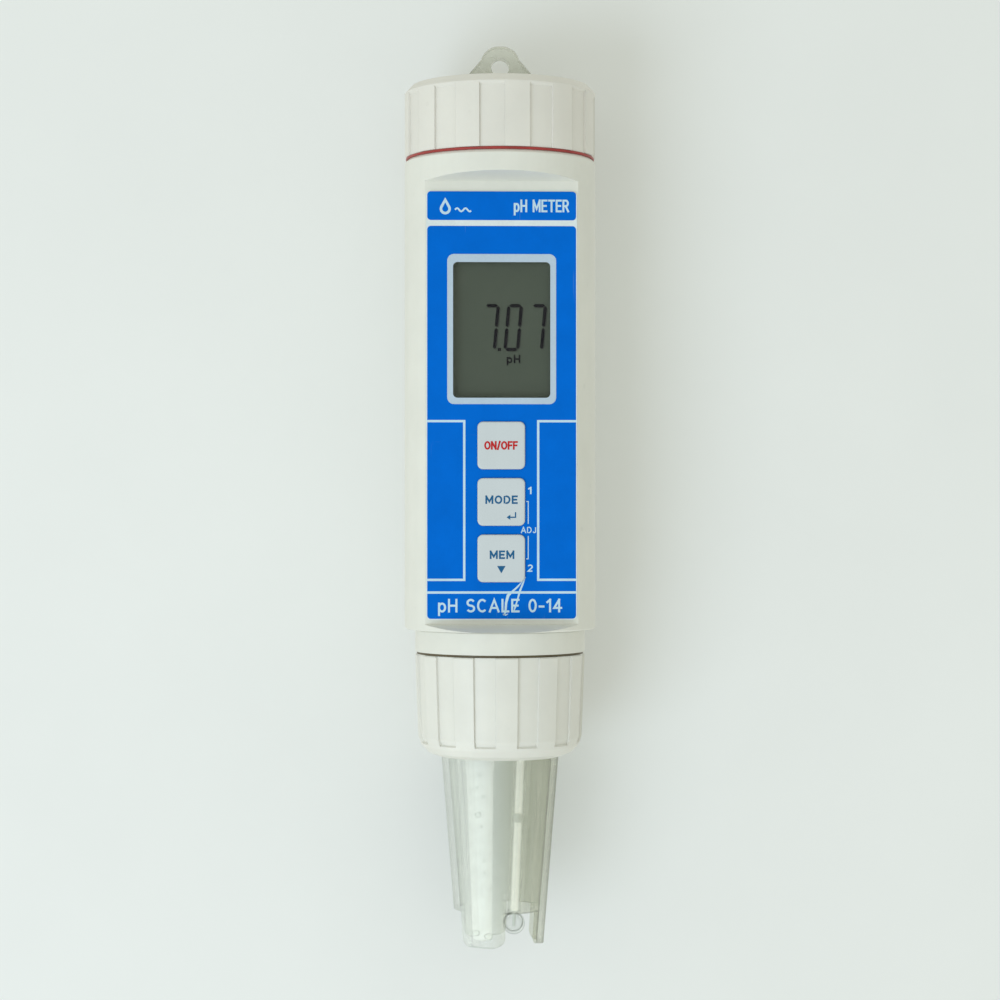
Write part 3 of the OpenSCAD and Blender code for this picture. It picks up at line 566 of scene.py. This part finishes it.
M["blue_part"] = moulded("trimmer_blue", (0.02, 0.1, 0.45, 1), rough=0.3)
M["blue_sleeve"] = moulded("capacitor_sleeve", (0.02, 0.05, 0.22, 1), rough=0.25)
M["red_sleeve"] = moulded("lead_red", (0.5, 0.012, 0.012, 1), rough=0.35)
M["dark_sleeve"] = moulded("lead_black", (0.02, 0.02, 0.022, 1), rough=0.35)
M["grey_sleeve"] = moulded("lead_grey", (0.09, 0.09, 0.1, 1), rough=0.35)
M["epoxy"] = moulded("chip_epoxy", (0.022, 0.022, 0.024, 1), rough=0.55, grain=0.1)
M["nickel"] = metal("nickel_plate", (0.72, 0.70, 0.66, 1), rough=0.22)
M["steel"] = metal("plated_steel", (0.66, 0.66, 0.67, 1), rough=0.3)
M["spring"] = metal("spring_steel", (0.68, 0.68, 0.7, 1), rough=0.25)
M["can"] = metal("crystal_can", (0.7, 0.7, 0.71, 1), rough=0.3, brushed=(80, 80, 1500))
M["gilt"] = metal("gold_flash", (0.80, 0.60, 0.26, 1), rough=0.2, tarnish=0.05)
M["silver"] = metal("silver_wire", (0.75, 0.75, 0.76, 1), rough=0.3, tarnish=0.3)


def board():
    """Solder mask over copper tracks, with a fine weave of glass fibre."""
    g = Graph("solder_mask")
    brick = g.n("TexBrick", {"Vector": g.stretch(1, 1, 1), "Scale": 260, "Mortar Size": 0.03, "Color1": (1, 1, 1, 1),
                             "Color2": (1, 1, 1, 1), "Mortar": (0, 0, 0, 1)}).outputs["Fac"]
    tracks = g.n("TexWave", {"Vector": g.stretch(1, 0.02, 0.25), "Scale": 420, "Distortion": 6, "Detail": 1},
                 wave_type="BANDS").outputs["Fac"]
    t = g.range(tracks, 0.62, 0.66, 0, 1)
    c = g.mix(t, (0.012, 0.10, 0.045, 1), (0.02, 0.19, 0.08, 1))
    nrm = g.bump(g.math("ADD", t, g.math("MULTIPLY", brick, 0.2)), 0.02)
    b = g.n("BsdfPrincipled", {"Base Color": c, "Roughness": 0.28, "Normal": nrm, "Coat Weight": 0.4})
    return g.finish(b.outputs[0])


def jacket():
    """Printed cell jacket: a plain green sleeve with a pale band near the positive end."""
    g = Graph("cell_jacket")
    z = g.n("SeparateXYZ", {0: g.obj}).outputs["Z"]
    band = g.math("MULTIPLY", g.range(z, 0.0985, 0.0987, 0, 1), g.range(z, 0.1010, 0.1012, 1, 0))
    c = g.mix(g.range(g.noise(500, 3), 0.3, 0.7, 0, 1), (0.015, 0.16, 0.07, 1), (0.02, 0.20, 0.085, 1))
    c = g.mix(band, c, (0.7, 0.7, 0.66, 1))
    n = g.n("NewGeometry").outputs["Normal"]
    up = g.n("SeparateXYZ", {0: n}).outputs["Z"]
    end = g.range(g.math("ABSOLUTE", up), 0.5, 0.6, 0, 1)
    c = g.mix(end, c, (0.7, 0.7, 0.7, 1))
    b = g.n("BsdfPrincipled", {"Base Color": c, "Metallic": g.math("MAXIMUM", end, 0.25), "Roughness": g.range(g.noise(90, 3), 0.3, 0.7, 0.22, 0.36),
                               "Normal": g.bump(g.noise(900, 2), 0.006)})
    return g.finish(b.outputs[0])


def display():
    """Liquid crystal cell: olive grey reflector with a fine sparkle, with painted shade darkening it towards its edges.
    """
    g = Graph("display_glass")
    base = (0.087, 0.102, 0.080, 1)
    c = g.mix(g.range(g.noise(2600, 3, 0.7), 0.3, 0.7, 0, 1), scaled(base, 0.72), scaled(base, 1.26))
    c = g.mix(g.range(g.noise(160, 2), 0.3, 0.7, 0, 0.5), c, (0.082, 0.098, 0.076, 1))
    x = g.n("SeparateXYZ", {0: g.obj}).outputs["X"]
    z = g.n("SeparateXYZ", {0: g.obj}).outputs["Z"]
    # painted shade: the cell darkens near its edges, where the frame shades it
    rim = g.math("MAXIMUM", g.range(g.math("ABSOLUTE", x), 0.0092, 0.0100, 0, 1),
                 g.range(g.math("ABSOLUTE", g.math("SUBTRACT", z, 0.06665)), 0.0131, 0.0139, 0, 1))
    c = g.mix(g.math("MULTIPLY", rim, 0.35), c, (0.055, 0.062, 0.050, 1))
    b = g.n("BsdfPrincipled", {"Base Color": c, "Roughness": 0.42, "Specular IOR Level": 0.4,
                               "Normal": g.bump(g.noise(2600, 3, 0.7), 0.004)})
    return g.finish(b.outputs[0])


def lens():
    """Thin clear acrylic: straight through, with a reflecting face."""
    g = Graph("window_acrylic")
    nrm = g.bump(g.noise(60, 2), 0.01)
    scr = g.range(g.noise(1.0, 2, 0.5, vec=g.stretch(1900, 1, 80)), 0.70, 0.78, 0, 0.10)
    f = g.n("Fresnel", {"IOR": 1.45, "Normal": nrm}).outputs[0]
    gl = g.n("BsdfGlossy", {"Color": (0.9, 0.9, 0.9, 1), "Roughness": 0.12, "Normal": nrm}).outputs[0]
    tr = g.n("BsdfTransparent", {"Color": (0.95, 0.965, 0.955, 1)}).outputs[0]
    df = g.n("BsdfDiffuse", {"Color": (0.8, 0.8, 0.78, 1)}).outputs[0]
    a = g.n("MixShader", {0: g.math("MULTIPLY", f, 0.3), 1: tr, 2: gl}).outputs[0]
    b = g.n("MixShader", {0: scr, 1: a, 2: df}).outputs[0]
    return g.finish(b)


M["pcb"] = board()
M["jacket"] = jacket()
M["lcd"] = display()
M["lens"] = lens()
# painted shade: the shell's tint deepens towards +X, the side away from the key light, and its edges are painted darker
# there
M["shell"] = clear("probe_shell_plastic", (0.985, 0.995, 0.985, 1), rough=0.04, ior=1.35, shadow=0.84, haze=0.045,
                   haze_col=(0.72, 0.74, 0.66, 1), wave=0.002, wave_mm=6.0, solid=0.15, rim=0.36, smear=0.08,
                   painted_shade=(-0.0034, 0.0050, (0.886, 0.889, 0.846, 1), "X", (-0.0098, -0.0078)))
# painted light: the inner tube's haze glows
M["tube"] = clear("inner_tube_plastic", (0.98, 0.99, 0.985, 1), rough=0.05, ior=1.15, shadow=0.88, haze=0.80,
                  haze_col=(0.95, 0.975, 0.955, 1), wave=0.004, solid=0.3, milk_through=0.30, smear=0.1, glow=0.31)
# painted shade: the glass and the bulb get darker edges where seen edge-on
M["glass"] = clear("blown_glass", (0.985, 0.99, 0.988, 1), rough=0.0, ior=1.2, shadow=0.99, wave=0.003, smear=0.03, solid=0.25, rim=0.16)
M["bulb"] = clear("thin_blown_glass", (0.985, 0.99, 0.986, 1), rough=0.0, ior=1.3, shadow=0.97, wave=0.004, smear=0.03, solid=0.10, rim=0.42)
# painted light: the ceramic rod glows above the fade height
M["rod"] = moulded("ceramic_rod", (0.90, 0.90, 0.86, 1), rough=0.6, grain=0.12, depth=0.006, glow=0.50,
                   fade=(-0.0548, -0.0543, (0.80, 0.83, 0.80, 1)))
# painted shade: a dark ring standing for the bulb wall's inner edge as the glass shows it
M["edge_line"] = film("glass_edge_line", lin(98, 110, 96), rough=0.5, wear=0.3)
# the joint's own dark line, and also a painted dark glint on the bulb's edge
M["joint_line"] = film("glass_joint_line", lin(50, 56, 54), rough=0.5, wear=0.3)
# painted shade: the eye's tint deepens towards its base, with darker edges there
M["eye"] = clear("eye_plastic", (0.975, 0.98, 0.955, 1), rough=0.16, ior=1.35, shadow=0.9, haze=0.30,
                 haze_col=(0.70, 0.71, 0.63, 1), wave=0.02, solid=0.45, rim=0.24,
                 painted_shade=(0.1262, 0.1196, (0.74, 0.755, 0.715, 1), "Z", (0.1262, 0.1196)))
# painted light: the stem collar glows faintly
M["collar"] = moulded("stem_collar_plastic", (0.80, 0.81, 0.76, 1), rough=0.45, glow=0.16)
# painted shade: the bubbles get dark edges where seen edge-on
M["bubble"] = clear("bubble", (0.97, 0.98, 0.97, 1), rough=0.02, ior=1.25, shadow=0.95, smear=0.0, solid=0.5, rim=0.8)

SKIN = {
    "main_tube": "abs", "lower_end_ring": "abs", "tube_seal_ring": "black_rubber", "nut_gasket": "brown_rubber",
    "front_label": "film_white", "window_lens": "lens", "lcd_glass": "lcd", "lcd_frame": "black_plastic",
    "zebra_strips": "pink", "main_pcb": "pcb", "processor_chip": "epoxy", "input_amplifier": "epoxy",
    "crystal_can": "can", "capacitors": "blue_sleeve", "trimmer_pots": "blue_part", "switch_bodies": "black_plastic",
    "pcb_screws": "steel", "battery_carrier": "black_plastic", "battery_cells": "jacket", "battery_springs": "spring",
    "contact_plates": "nickel", "battery_lead_red": "red_sleeve", "battery_lead_black": "dark_sleeve",
    "probe_socket": "nickel", "socket_nut": "nickel", "socket_insulator": "white_part", "signal_lead": "grey_sleeve",
    "cap_seal_ring": "red_ring", "cap_shell": "abs_cap", "hanger_eye": "eye", "cap_pad": "foam",
    "power_key": "key", "hold_key": "key", "record_key": "key",
    "power_switch_button": "ivory", "hold_switch_button": "ivory", "record_switch_button": "ivory",
    "electrode_shell": "shell", "electrode_head": "white_part", "probe_seal_ring": "black_rubber",
    "plug_shell": "nickel", "plug_pin": "gilt", "glass_stem": "glass", "glass_bulb": "bulb",
    "sensing_wire": "rod", "stem_collar": "collar", "reference_tube": "tube", "reference_wire": "silver",
    "junction_plug": "ceramic", "collar_nut": "abs_nut",
}
for node, key in SKIN.items():
    NODES[node].data.materials.clear()
    NODES[node].data.materials.append(M[key])

# ------------------------------------------------------------------ printed label
FILM = 12.6
INK = FILM + 0.03
W = 31.0


def print_(name, loops, mat, body="housing", front=INK, thick=0.05):
    return flat_piece(name, loops, front, thick, M[mat], body)


edge = 0.2
band = (W - 2 * edge)
print_("label_header_print", [rr(band, 5.9, 0.75, cz=92.15)], "ink_blue")
KEY_Z = (42.9, 31.3, 19.7)
panel = [rr(band, 80.7, 0.75, cz=47.65), rr(22.4, 30.85, 1.4, cz=66.82)]
panel += [rr(9.86, 9.86, 1.17, cx=-0.1, cz=z) for z in KEY_Z]
print_("label_panel_print", panel, "ink_blue")
print_("label_window_border", [rr(22.3, 30.75, 1.36, cz=66.82), rr(20.0, 27.9, 0.9, cz=66.65)], "frame_ink",
       front=FILM + 0.05, thick=0.09)

LINE = INK + 0.02


bx = band / 2 + 0.02
print_("label_box_left", [line_loop([(-bx, 47.9), (-7.7, 47.9), (-7.7, 15.3), (-bx, 15.3)], 0.48)], "ink_white", front=LINE)
print_("label_box_right", [line_loop([(bx, 47.9), (7.5, 47.9), (7.5, 15.3), (bx, 15.3)], 0.48)], "ink_white", front=LINE)
print_("label_rule", [line_loop([(-bx, 12.7), (bx, 12.7)], 0.48)], "ink_white", front=LINE)
print_("calibration_bracket_upper", [line_loop([(5.05, 31.4), (5.45, 31.4), (5.45, 26.8)], 0.18)], "ink_white", front=LINE)
print_("calibration_bracket_lower", [line_loop([(5.45, 24.3), (5.45, 19.6), (5.05, 19.6)], 0.18)], "ink_white", front=LINE)
letters("adjust_word", "ADJ", 1.3, 5.5, 24.9, LINE, 0.05, M["ink_white"], "housing", width=3.1, weight=0.16)
letters("digit_one", "1", 1.5, 5.8, 32.9, LINE, 0.05, M["ink_white"], "housing", width=0.75, weight=0.20)
letters("digit_two", "2", 1.5, 5.85, 16.95, LINE, 0.05, M["ink_white"], "housing", width=1.1, weight=0.18)
letters("range_text", "pH SCALE 0-14", 2.8, -0.35, 8.6, LINE, 0.05, M["ink_white"], "housing", width=25.4, weight=0.15)
letters("header_text", "pH METER", 2.6, 13.75, 90.85, LINE, 0.05, M["ink_white"], "housing", width=11.2, weight=0.15, align="RIGHT", gap=0.20)


def droplet(cx, cz, r, tip):
    pts = []
    for i in range(33):
        a = math.radians(-210 + 240 * i / 32)
        pts.append((cx + r * math.cos(a), cz + r * math.sin(a)))
    pts.append((cx, cz + tip))
    return pts


print_("droplet_icon", [droplet(-11.6, 91.5, 1.15, 2.35), droplet(-11.6, 91.5, 0.62, 1.35)], "ink_white", front=LINE)
print_("droplet_icon_wave", [line_loop([(-9.6 + 0.22 * i, 91.3 + 0.34 * math.sin(i * 0.8)) for i in range(16)], 0.34)], "ink_white", front=LINE)


def scratch(name, pts, widths):
    """A tapering scratch through points."""
    left, right = [], []
    for i, (x, z) in enumerate(pts):
        a = pts[max(i - 1, 0)]
        b = pts[min(i + 1, len(pts) - 1)]
        d = math.hypot(b[0] - a[0], b[1] - a[1])
        nx, nz = -(b[1] - a[1]) / d, (b[0] - a[0]) / d
        left.append((x + nx * widths[i] / 2, z + nz * widths[i] / 2))
        right.append((x - nx * widths[i] / 2, z - nz * widths[i] / 2))
    print_(name, [left + right[::-1]], "ink_white", front=LINE + 0.01)


scratch("label_scratch_a", [(4.35, 15.1), (3.3, 13.9), (2.1, 12.8), (1.3, 12.1), (0.9, 10.6), (0.75, 8.6), (0.35, 8.0)],
        [0.12, 0.34, 0.42, 0.62, 0.5, 0.42, 0.1])
scratch("label_scratch_b", [(4.9, 15.9), (4.3, 14.4), (3.7, 12.9), (3.3, 11.4), (2.75, 9.6), (2.5, 8.9)],
        [0.1, 0.36, 0.42, 0.3, 0.36, 0.1])
scratch("label_scratch_c", [(0.2, 8.25), (0.8, 8.05), (1.3, 8.3)], [0.08, 0.3, 0.08])

# ------------------------------------------------------------------ display digits
SEGMENTS = {"0": "abcdef", "7": "abc"}
D_W, D_H, D_S = 3.25, 9.7, 0.66


def segment(which, x0, z0):
    """One slanted segment of a digit whose lower left corner is x0, z0."""
    w, h, s, gap = D_W, D_H, D_S, 0.09
    m = h / 2
    if which in "adg":
        zc = {"a": h - s / 2, "d": s / 2, "g": m}[which]
        pts = [(s / 2 + gap, zc), (s + gap, zc + s / 2), (w - s - gap, zc + s / 2), (w - s / 2 - gap, zc),
               (w - s - gap, zc - s / 2), (s + gap, zc - s / 2)]
    else:
        xc = w - s / 2 if which in "bc" else s / 2
        lo, hi = (m, h - s / 2) if which in "bf" else (s / 2, m)
        pts = [(xc, hi - gap), (xc + s / 2, hi - gap - s / 2), (xc + s / 2, lo + gap + s / 2), (xc, lo + gap),
               (xc - s / 2, lo + gap + s / 2), (xc - s / 2, hi - gap - s / 2)]
    return [(x0 + x + 0.088 * z, z0 + z) for x, z in pts]


def digit(name, ch, x_right_top):
    x0 = x_right_top - D_W - 0.088 * D_H
    loops = [segment(c, x0, 62.45) for c in SEGMENTS[ch]]
    print_(name, loops, "digit", front=10.45, thick=0.06)
    moved = [[(x + 0.22, z - 0.20) for x, z in lp] for lp in loops]
    print_(name + "_shade", moved, "digit_shadow", front=10.42, thick=0.03)


digit("display_digit_1", "7", -0.30)
digit("display_digit_2", "0", 4.48)
digit("display_digit_3", "7", 9.42)
print_("display_point", [rr(0.72, 0.62, 0.1, n=3, cx=-0.42, cz=62.75)], "digit", front=10.45, thick=0.06)
letters("display_unit", "pH", 1.75, 2.5, 59.9, 10.45, 0.06, M["digit"], "housing", width=2.8, weight=0.2)

# ------------------------------------------------------------------ keys
KEYS = (("power", 42.9), ("hold", 31.3), ("record", 19.7))
for kname, kz in KEYS:
    cx, w, h, front = -0.1, 9.8, 9.8, 13.2

    def out(inset, r):
        return rr(w - 2 * inset, h - 2 * inset, max(r - inset * 0.6, 0.12), n=10, cx=cx, cz=kz)

    flange = rr(11.3, 11.3, 0.8, n=10, cx=cx, cz=kz)
    neck = out(0.0, 1.15)
    rings = [ring_y([(cx + (x - cx) * 0.3, kz + (z - kz) * 0.3) for x, z in flange], -9.82), ring_y(flange, -9.82),
             ring_y(flange, -10.38), ring_y(neck, -10.38)]
    soft = 0.34
    rings.append(ring_y(neck, -front + soft))
    for i in range(1, 7):
        a = math.radians(90 * i / 6)
        rings.append(ring_y(out(soft * (1 - math.cos(a)), 1.15), -front + soft * (1 - math.sin(a))))
    for k in (0.86, 0.7, 0.5, 0.3, 0.12):
        dish = 0.05 * (1 - k * k)
        top = out(soft, 1.15)
        rings.append(ring_y([(cx + (x - cx) * k, kz + (z - kz) * k) for x, z in top], -front + dish))
    ob = lofted(kname + "_key_cap", rings, M["key"], kname + "_key")
    ob.data.polygons.foreach_set("use_smooth", [True] * len(ob.data.polygons))
    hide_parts(kname + "_key")

KF = 13.19
letters("power_legend", "ON/OFF", 1.75, -0.15, 42.03, KF, 0.06, M["ink_red"], "power_key", width=6.8, weight=0.2, gap=0.14)
letters("hold_legend", "MODE", 1.72, -0.05, 30.9, KF, 0.06, M["ink_navy"], "hold_key", width=6.6, weight=0.2)
letters("record_legend", "MEM", 1.72, 0.05, 19.6, KF, 0.06, M["ink_navy"], "record_key", width=5.0, weight=0.2)
flat_piece("record_arrow", [[(-0.95, 18.15), (0.75, 18.15), (-0.1, 16.65)]], KF, 0.06, M["ink_navy"], "record_key")
flat_piece("hold_arrow", [[(2.95, 29.2), (2.95, 28.02), (1.75, 28.02), (1.75, 27.62), (1.0, 28.15), (1.75, 28.68), (1.75, 28.28),
                          (2.69, 28.28), (2.69, 29.2)]], KF, 0.06, M["ink_navy"], "hold_key")

# ------------------------------------------------------------------ hanging eye
cap_node = NODES["cap_shell"]
CAP_Z1 = max((cap_node.matrix_world @ v.co).z for v in cap_node.data.vertices) / MM


def bell():
    pts = [(9.4, CAP_Z1 + 0.05)]
    pts += curve_points(9.4, CAP_Z1 + 3.9, 3.0, 3.0, -90, -132, 10)
    pts += curve_points(0.3, CAP_Z1 + 8.5 - 3.8, 3.8, 3.8, 15, 90, 20)
    mirrored = [(-x, z) for x, z in reversed(pts)]
    return pts + mirrored


eye_loop = bell() + [(-7.0, CAP_Z1 + 0.02), (-7.0, CAP_Z1 - 2.2), (7.0, CAP_Z1 - 2.2), (7.0, CAP_Z1 + 0.02)]
hole = [(1.9 * math.cos(math.radians(360 * i / 48)), CAP_Z1 + 4.1 + 1.9 * math.sin(math.radians(360 * i / 48))) for i in range(48)]
eye = flat_piece("hanging_eye_soft", [eye_loop, hole], 2.0, 4.0, M["eye"], "battery_cap", bevel=0.35)
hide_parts("hanger_eye")
for p in eye.data.polygons:
    p.use_smooth = False

# ------------------------------------------------------------------ bubbles in the inner tube
def bubble(name, x, y, z, r, seed):
    bm = bmesh.new()
    bmesh.ops.create_icosphere(bm, subdivisions=3, radius=r * MM)
    for v in bm.verts:
        d = v.co.normalized()
        k = 1 + 0.16 * noise.noise(d * 1.3 + Vector((seed, 0, 0)))
        v.co = Vector((v.co.x * k, v.co.y * k * 0.9, v.co.z * k * 0.86)) + Vector((x, y, z)) * MM
    me = bpy.data.meshes.new(name)
    bm.to_mesh(me)
    bm.free()
    for p in me.polygons:
        p.use_smooth = True
    ob = bpy.data.objects.new(name, me)
    scene.collection.objects.link(ob)
    place(ob, name, M["bubble"], "probe")


for i, (x, z, r) in enumerate([(-4.3, -25.6, 0.45), (-4.9, -28.2, 0.32), (-3.6, -30.2, 0.4), (-4.7, -34.0, 0.66), (-4.0, -36.4, 0.3),
                               (-3.4, -43.6, 0.3), (-3.3, -46.2, 0.26)]):
    bubble("tube_bubble_%d" % i, x, -4.55, z, r, i * 3.7)
for i, (x, z, r) in enumerate([(-5.15, -58.6, 0.78), (-2.5, -59.4, 0.86)]):
    bubble("end_port_%d" % i, x, -4.6, z, r, 30 + i * 2.9)

# ------------------------------------------------------------------ bulb: painted shade at the wall's inner edge, a painted dark glint on its edge, and the joint above it
def circle(cx, cz, r, n=48):
    return [(cx + r * math.cos(math.radians(360 * i / n)), cz + r * math.sin(math.radians(360 * i / n))) for i in range(n)]


BX, BZ = 2.85, -57.1
# painted shade: a dark ring standing for the bulb wall's inner edge
flat_piece("bulb_inner_edge", [circle(BX, BZ, 2.0), circle(BX, BZ, 1.84)], 0.03, 0.06, M["edge_line"], "probe")
# painted reflection: a dark glint painted along part of the bulb's edge
flat_piece("bulb_edge_glint", [line_loop(curve_points(BX, BZ, 1.92, 1.92, 118, 188, 10), 0.28)], 0.06, 0.05, M["joint_line"], "probe")
flat_piece("bulb_joint_line", [line_loop([(BX - 1.75, BZ + 2.02), (BX - 0.9, BZ + 2.13), (BX + 0.9, BZ + 2.13)], 0.20)], 1.48, 0.05,
           M["joint_line"], "probe")

# ------------------------------------------------------------------ stage: surface behind, floor below
def stage_plane(name, size, matrix, mat):
    me = bpy.data.meshes.new(name)
    s = size / 2
    me.from_pydata([(-s, -s, 0), (s, -s, 0), (s, s, 0), (-s, s, 0)], [], [(0, 1, 2, 3)])
    ob = bpy.data.objects.new(name, me)
    scene.collection.objects.link(ob)
    ob.matrix_world = matrix
    me.materials.append(mat)
    return ob


def stage_mat(name, col, cos_lo, cos_hi):
    """Pale matt surface seen only from its front, and only by rays steeper than the given cosines."""
    g = Graph(name)
    geo = g.n("NewGeometry")
    lp = g.n("LightPath")
    dot = g.n("VectorMath", {0: geo.outputs["Incoming"], 1: geo.outputs["Normal"]}, operation="DOT_PRODUCT").outputs["Value"]
    steep = g.range(dot, cos_lo, cos_hi, 0, 1, "SMOOTHSTEP")
    seen = g.math("MAXIMUM", lp.outputs["Is Camera Ray"], lp.outputs["Is Transmission Ray"])
    front = g.math("SUBTRACT", 1.0, geo.outputs["Backfacing"])
    vis = g.math("MULTIPLY", g.math("MULTIPLY", steep, seen), front)
    c = g.mix(g.range(g.noise(14, 4, 0.6), 0.3, 0.7, 0, 1), scaled(col, 0.985), scaled(col, 1.012))
    d = g.n("BsdfDiffuse", {"Color": c}).outputs[0]
    t = g.n("BsdfTransparent", {"Color": (1, 1, 1, 1)}).outputs[0]
    return g.finish(g.n("MixShader", {0: vis, 1: t, 2: d}).outputs[0])


YAW = math.radians(1.6)
turn = Matrix.Rotation(-YAW, 4, "Z")
back_m = turn @ Matrix.Translation((0, 20.4 * MM, 0)) @ Matrix.Rotation(math.radians(90), 4, "X")
surface = stage_plane("surface", 4.0, back_m, stage_mat("pale_surface", (0.845, 0.855, 0.855, 1), 0.90, 0.955))
floor = stage_plane("floor", 6.0, Matrix.Translation((0, 0, -80.0 * MM)), stage_mat("pale_floor", (0.80, 0.81, 0.80, 1), 0.205, 0.30))

# ------------------------------------------------------------------ light
world = bpy.data.worlds.new("studio")
scene.world = world
world.use_nodes = True
wt = world.node_tree
wt.nodes.clear()
w_out = wt.nodes.new("ShaderNodeOutputWorld")
w_mix = wt.nodes.new("ShaderNodeMixShader")
w_lp = wt.nodes.new("ShaderNodeLightPath")
w_amb = wt.nodes.new("ShaderNodeBackground")
w_cam = wt.nodes.new("ShaderNodeBackground")
w_amb.inputs["Color"].default_value = (0.965, 1.0, 0.905, 1)
w_dir = wt.nodes.new("ShaderNodeTexCoord")
w_dot = wt.nodes.new("ShaderNodeVectorMath")
w_dot.operation = "DOT_PRODUCT"
w_dot.inputs[1].default_value = (-0.085, 0.0, -0.05)
w_str = wt.nodes.new("ShaderNodeMath")
w_str.operation = "MULTIPLY_ADD"
w_str.inputs[1].default_value = 0.755
w_str.inputs[2].default_value = 0.755
wt.links.new(w_dir.outputs["Generated"], w_dot.inputs[0])
wt.links.new(w_dot.outputs["Value"], w_str.inputs[0])
wt.links.new(w_str.outputs[0], w_amb.inputs["Strength"])
w_cam.inputs["Color"].default_value = (0.735, 0.775, 0.75, 1)
w_cam.inputs["Strength"].default_value = 1.0
wt.links.new(w_lp.outputs["Is Camera Ray"], w_mix.inputs[0])
wt.links.new(w_amb.outputs[0], w_mix.inputs[1])
wt.links.new(w_cam.outputs[0], w_mix.inputs[2])
wt.links.new(w_mix.outputs[0], w_out.inputs["Surface"])


def area(name, place_, target, size, power, col, shape="DISK"):
    l = bpy.data.lights.new(name, "AREA")
    l.shape = shape
    l.size = size
    l.energy = power
    l.color = col
    o = bpy.data.objects.new(name, l)
    scene.collection.objects.link(o)
    o.location = place_
    o.rotation_mode = "QUATERNION"
    o.rotation_quaternion = (Vector(target) - Vector(place_)).to_track_quat("-Z", "Y")
    return o


AIM = Vector((0, 0, 0.032))
KEY_DIR = Vector((-0.75, -1.0, -0.58)).normalized()
key = area("key", AIM + KEY_DIR * 0.95, AIM, 0.60, 3.0, (0.78, 0.90, 1.04))
top = area("floor_light", (-0.25, -0.2, 1.0), (0, 0, -0.06), 0.55, 2.4, (0.95, 1.0, 0.98))
only_floor = bpy.data.collections.new("lit_from_above")
scene.collection.children.link(only_floor)
scene.collection.objects.unlink(floor)
only_floor.objects.link(floor)
top.light_linking.receiver_collection = only_floor

# ------------------------------------------------------------------ camera
cam_data = bpy.data.cameras.new("view")
cam = bpy.data.objects.new("view", cam_data)
scene.collection.objects.link(cam)
cam_data.sensor_width = 36
cam_data.lens = 90.3
cam_data.clip_start = 0.01
cam_data.clip_end = 20
DIST = 0.528
cam.location = (-math.sin(YAW) * DIST, -math.cos(YAW) * DIST, 0.0317)
cam.rotation_euler = (math.radians(90), 0, -YAW)
scene.camera = cam
scene.view_settings.view_transform = "Standard"
scene.cycles.transparent_max_bounces = 24
scene.cycles.transmission_bounces = 16
scene.cycles.max_bounces = 18
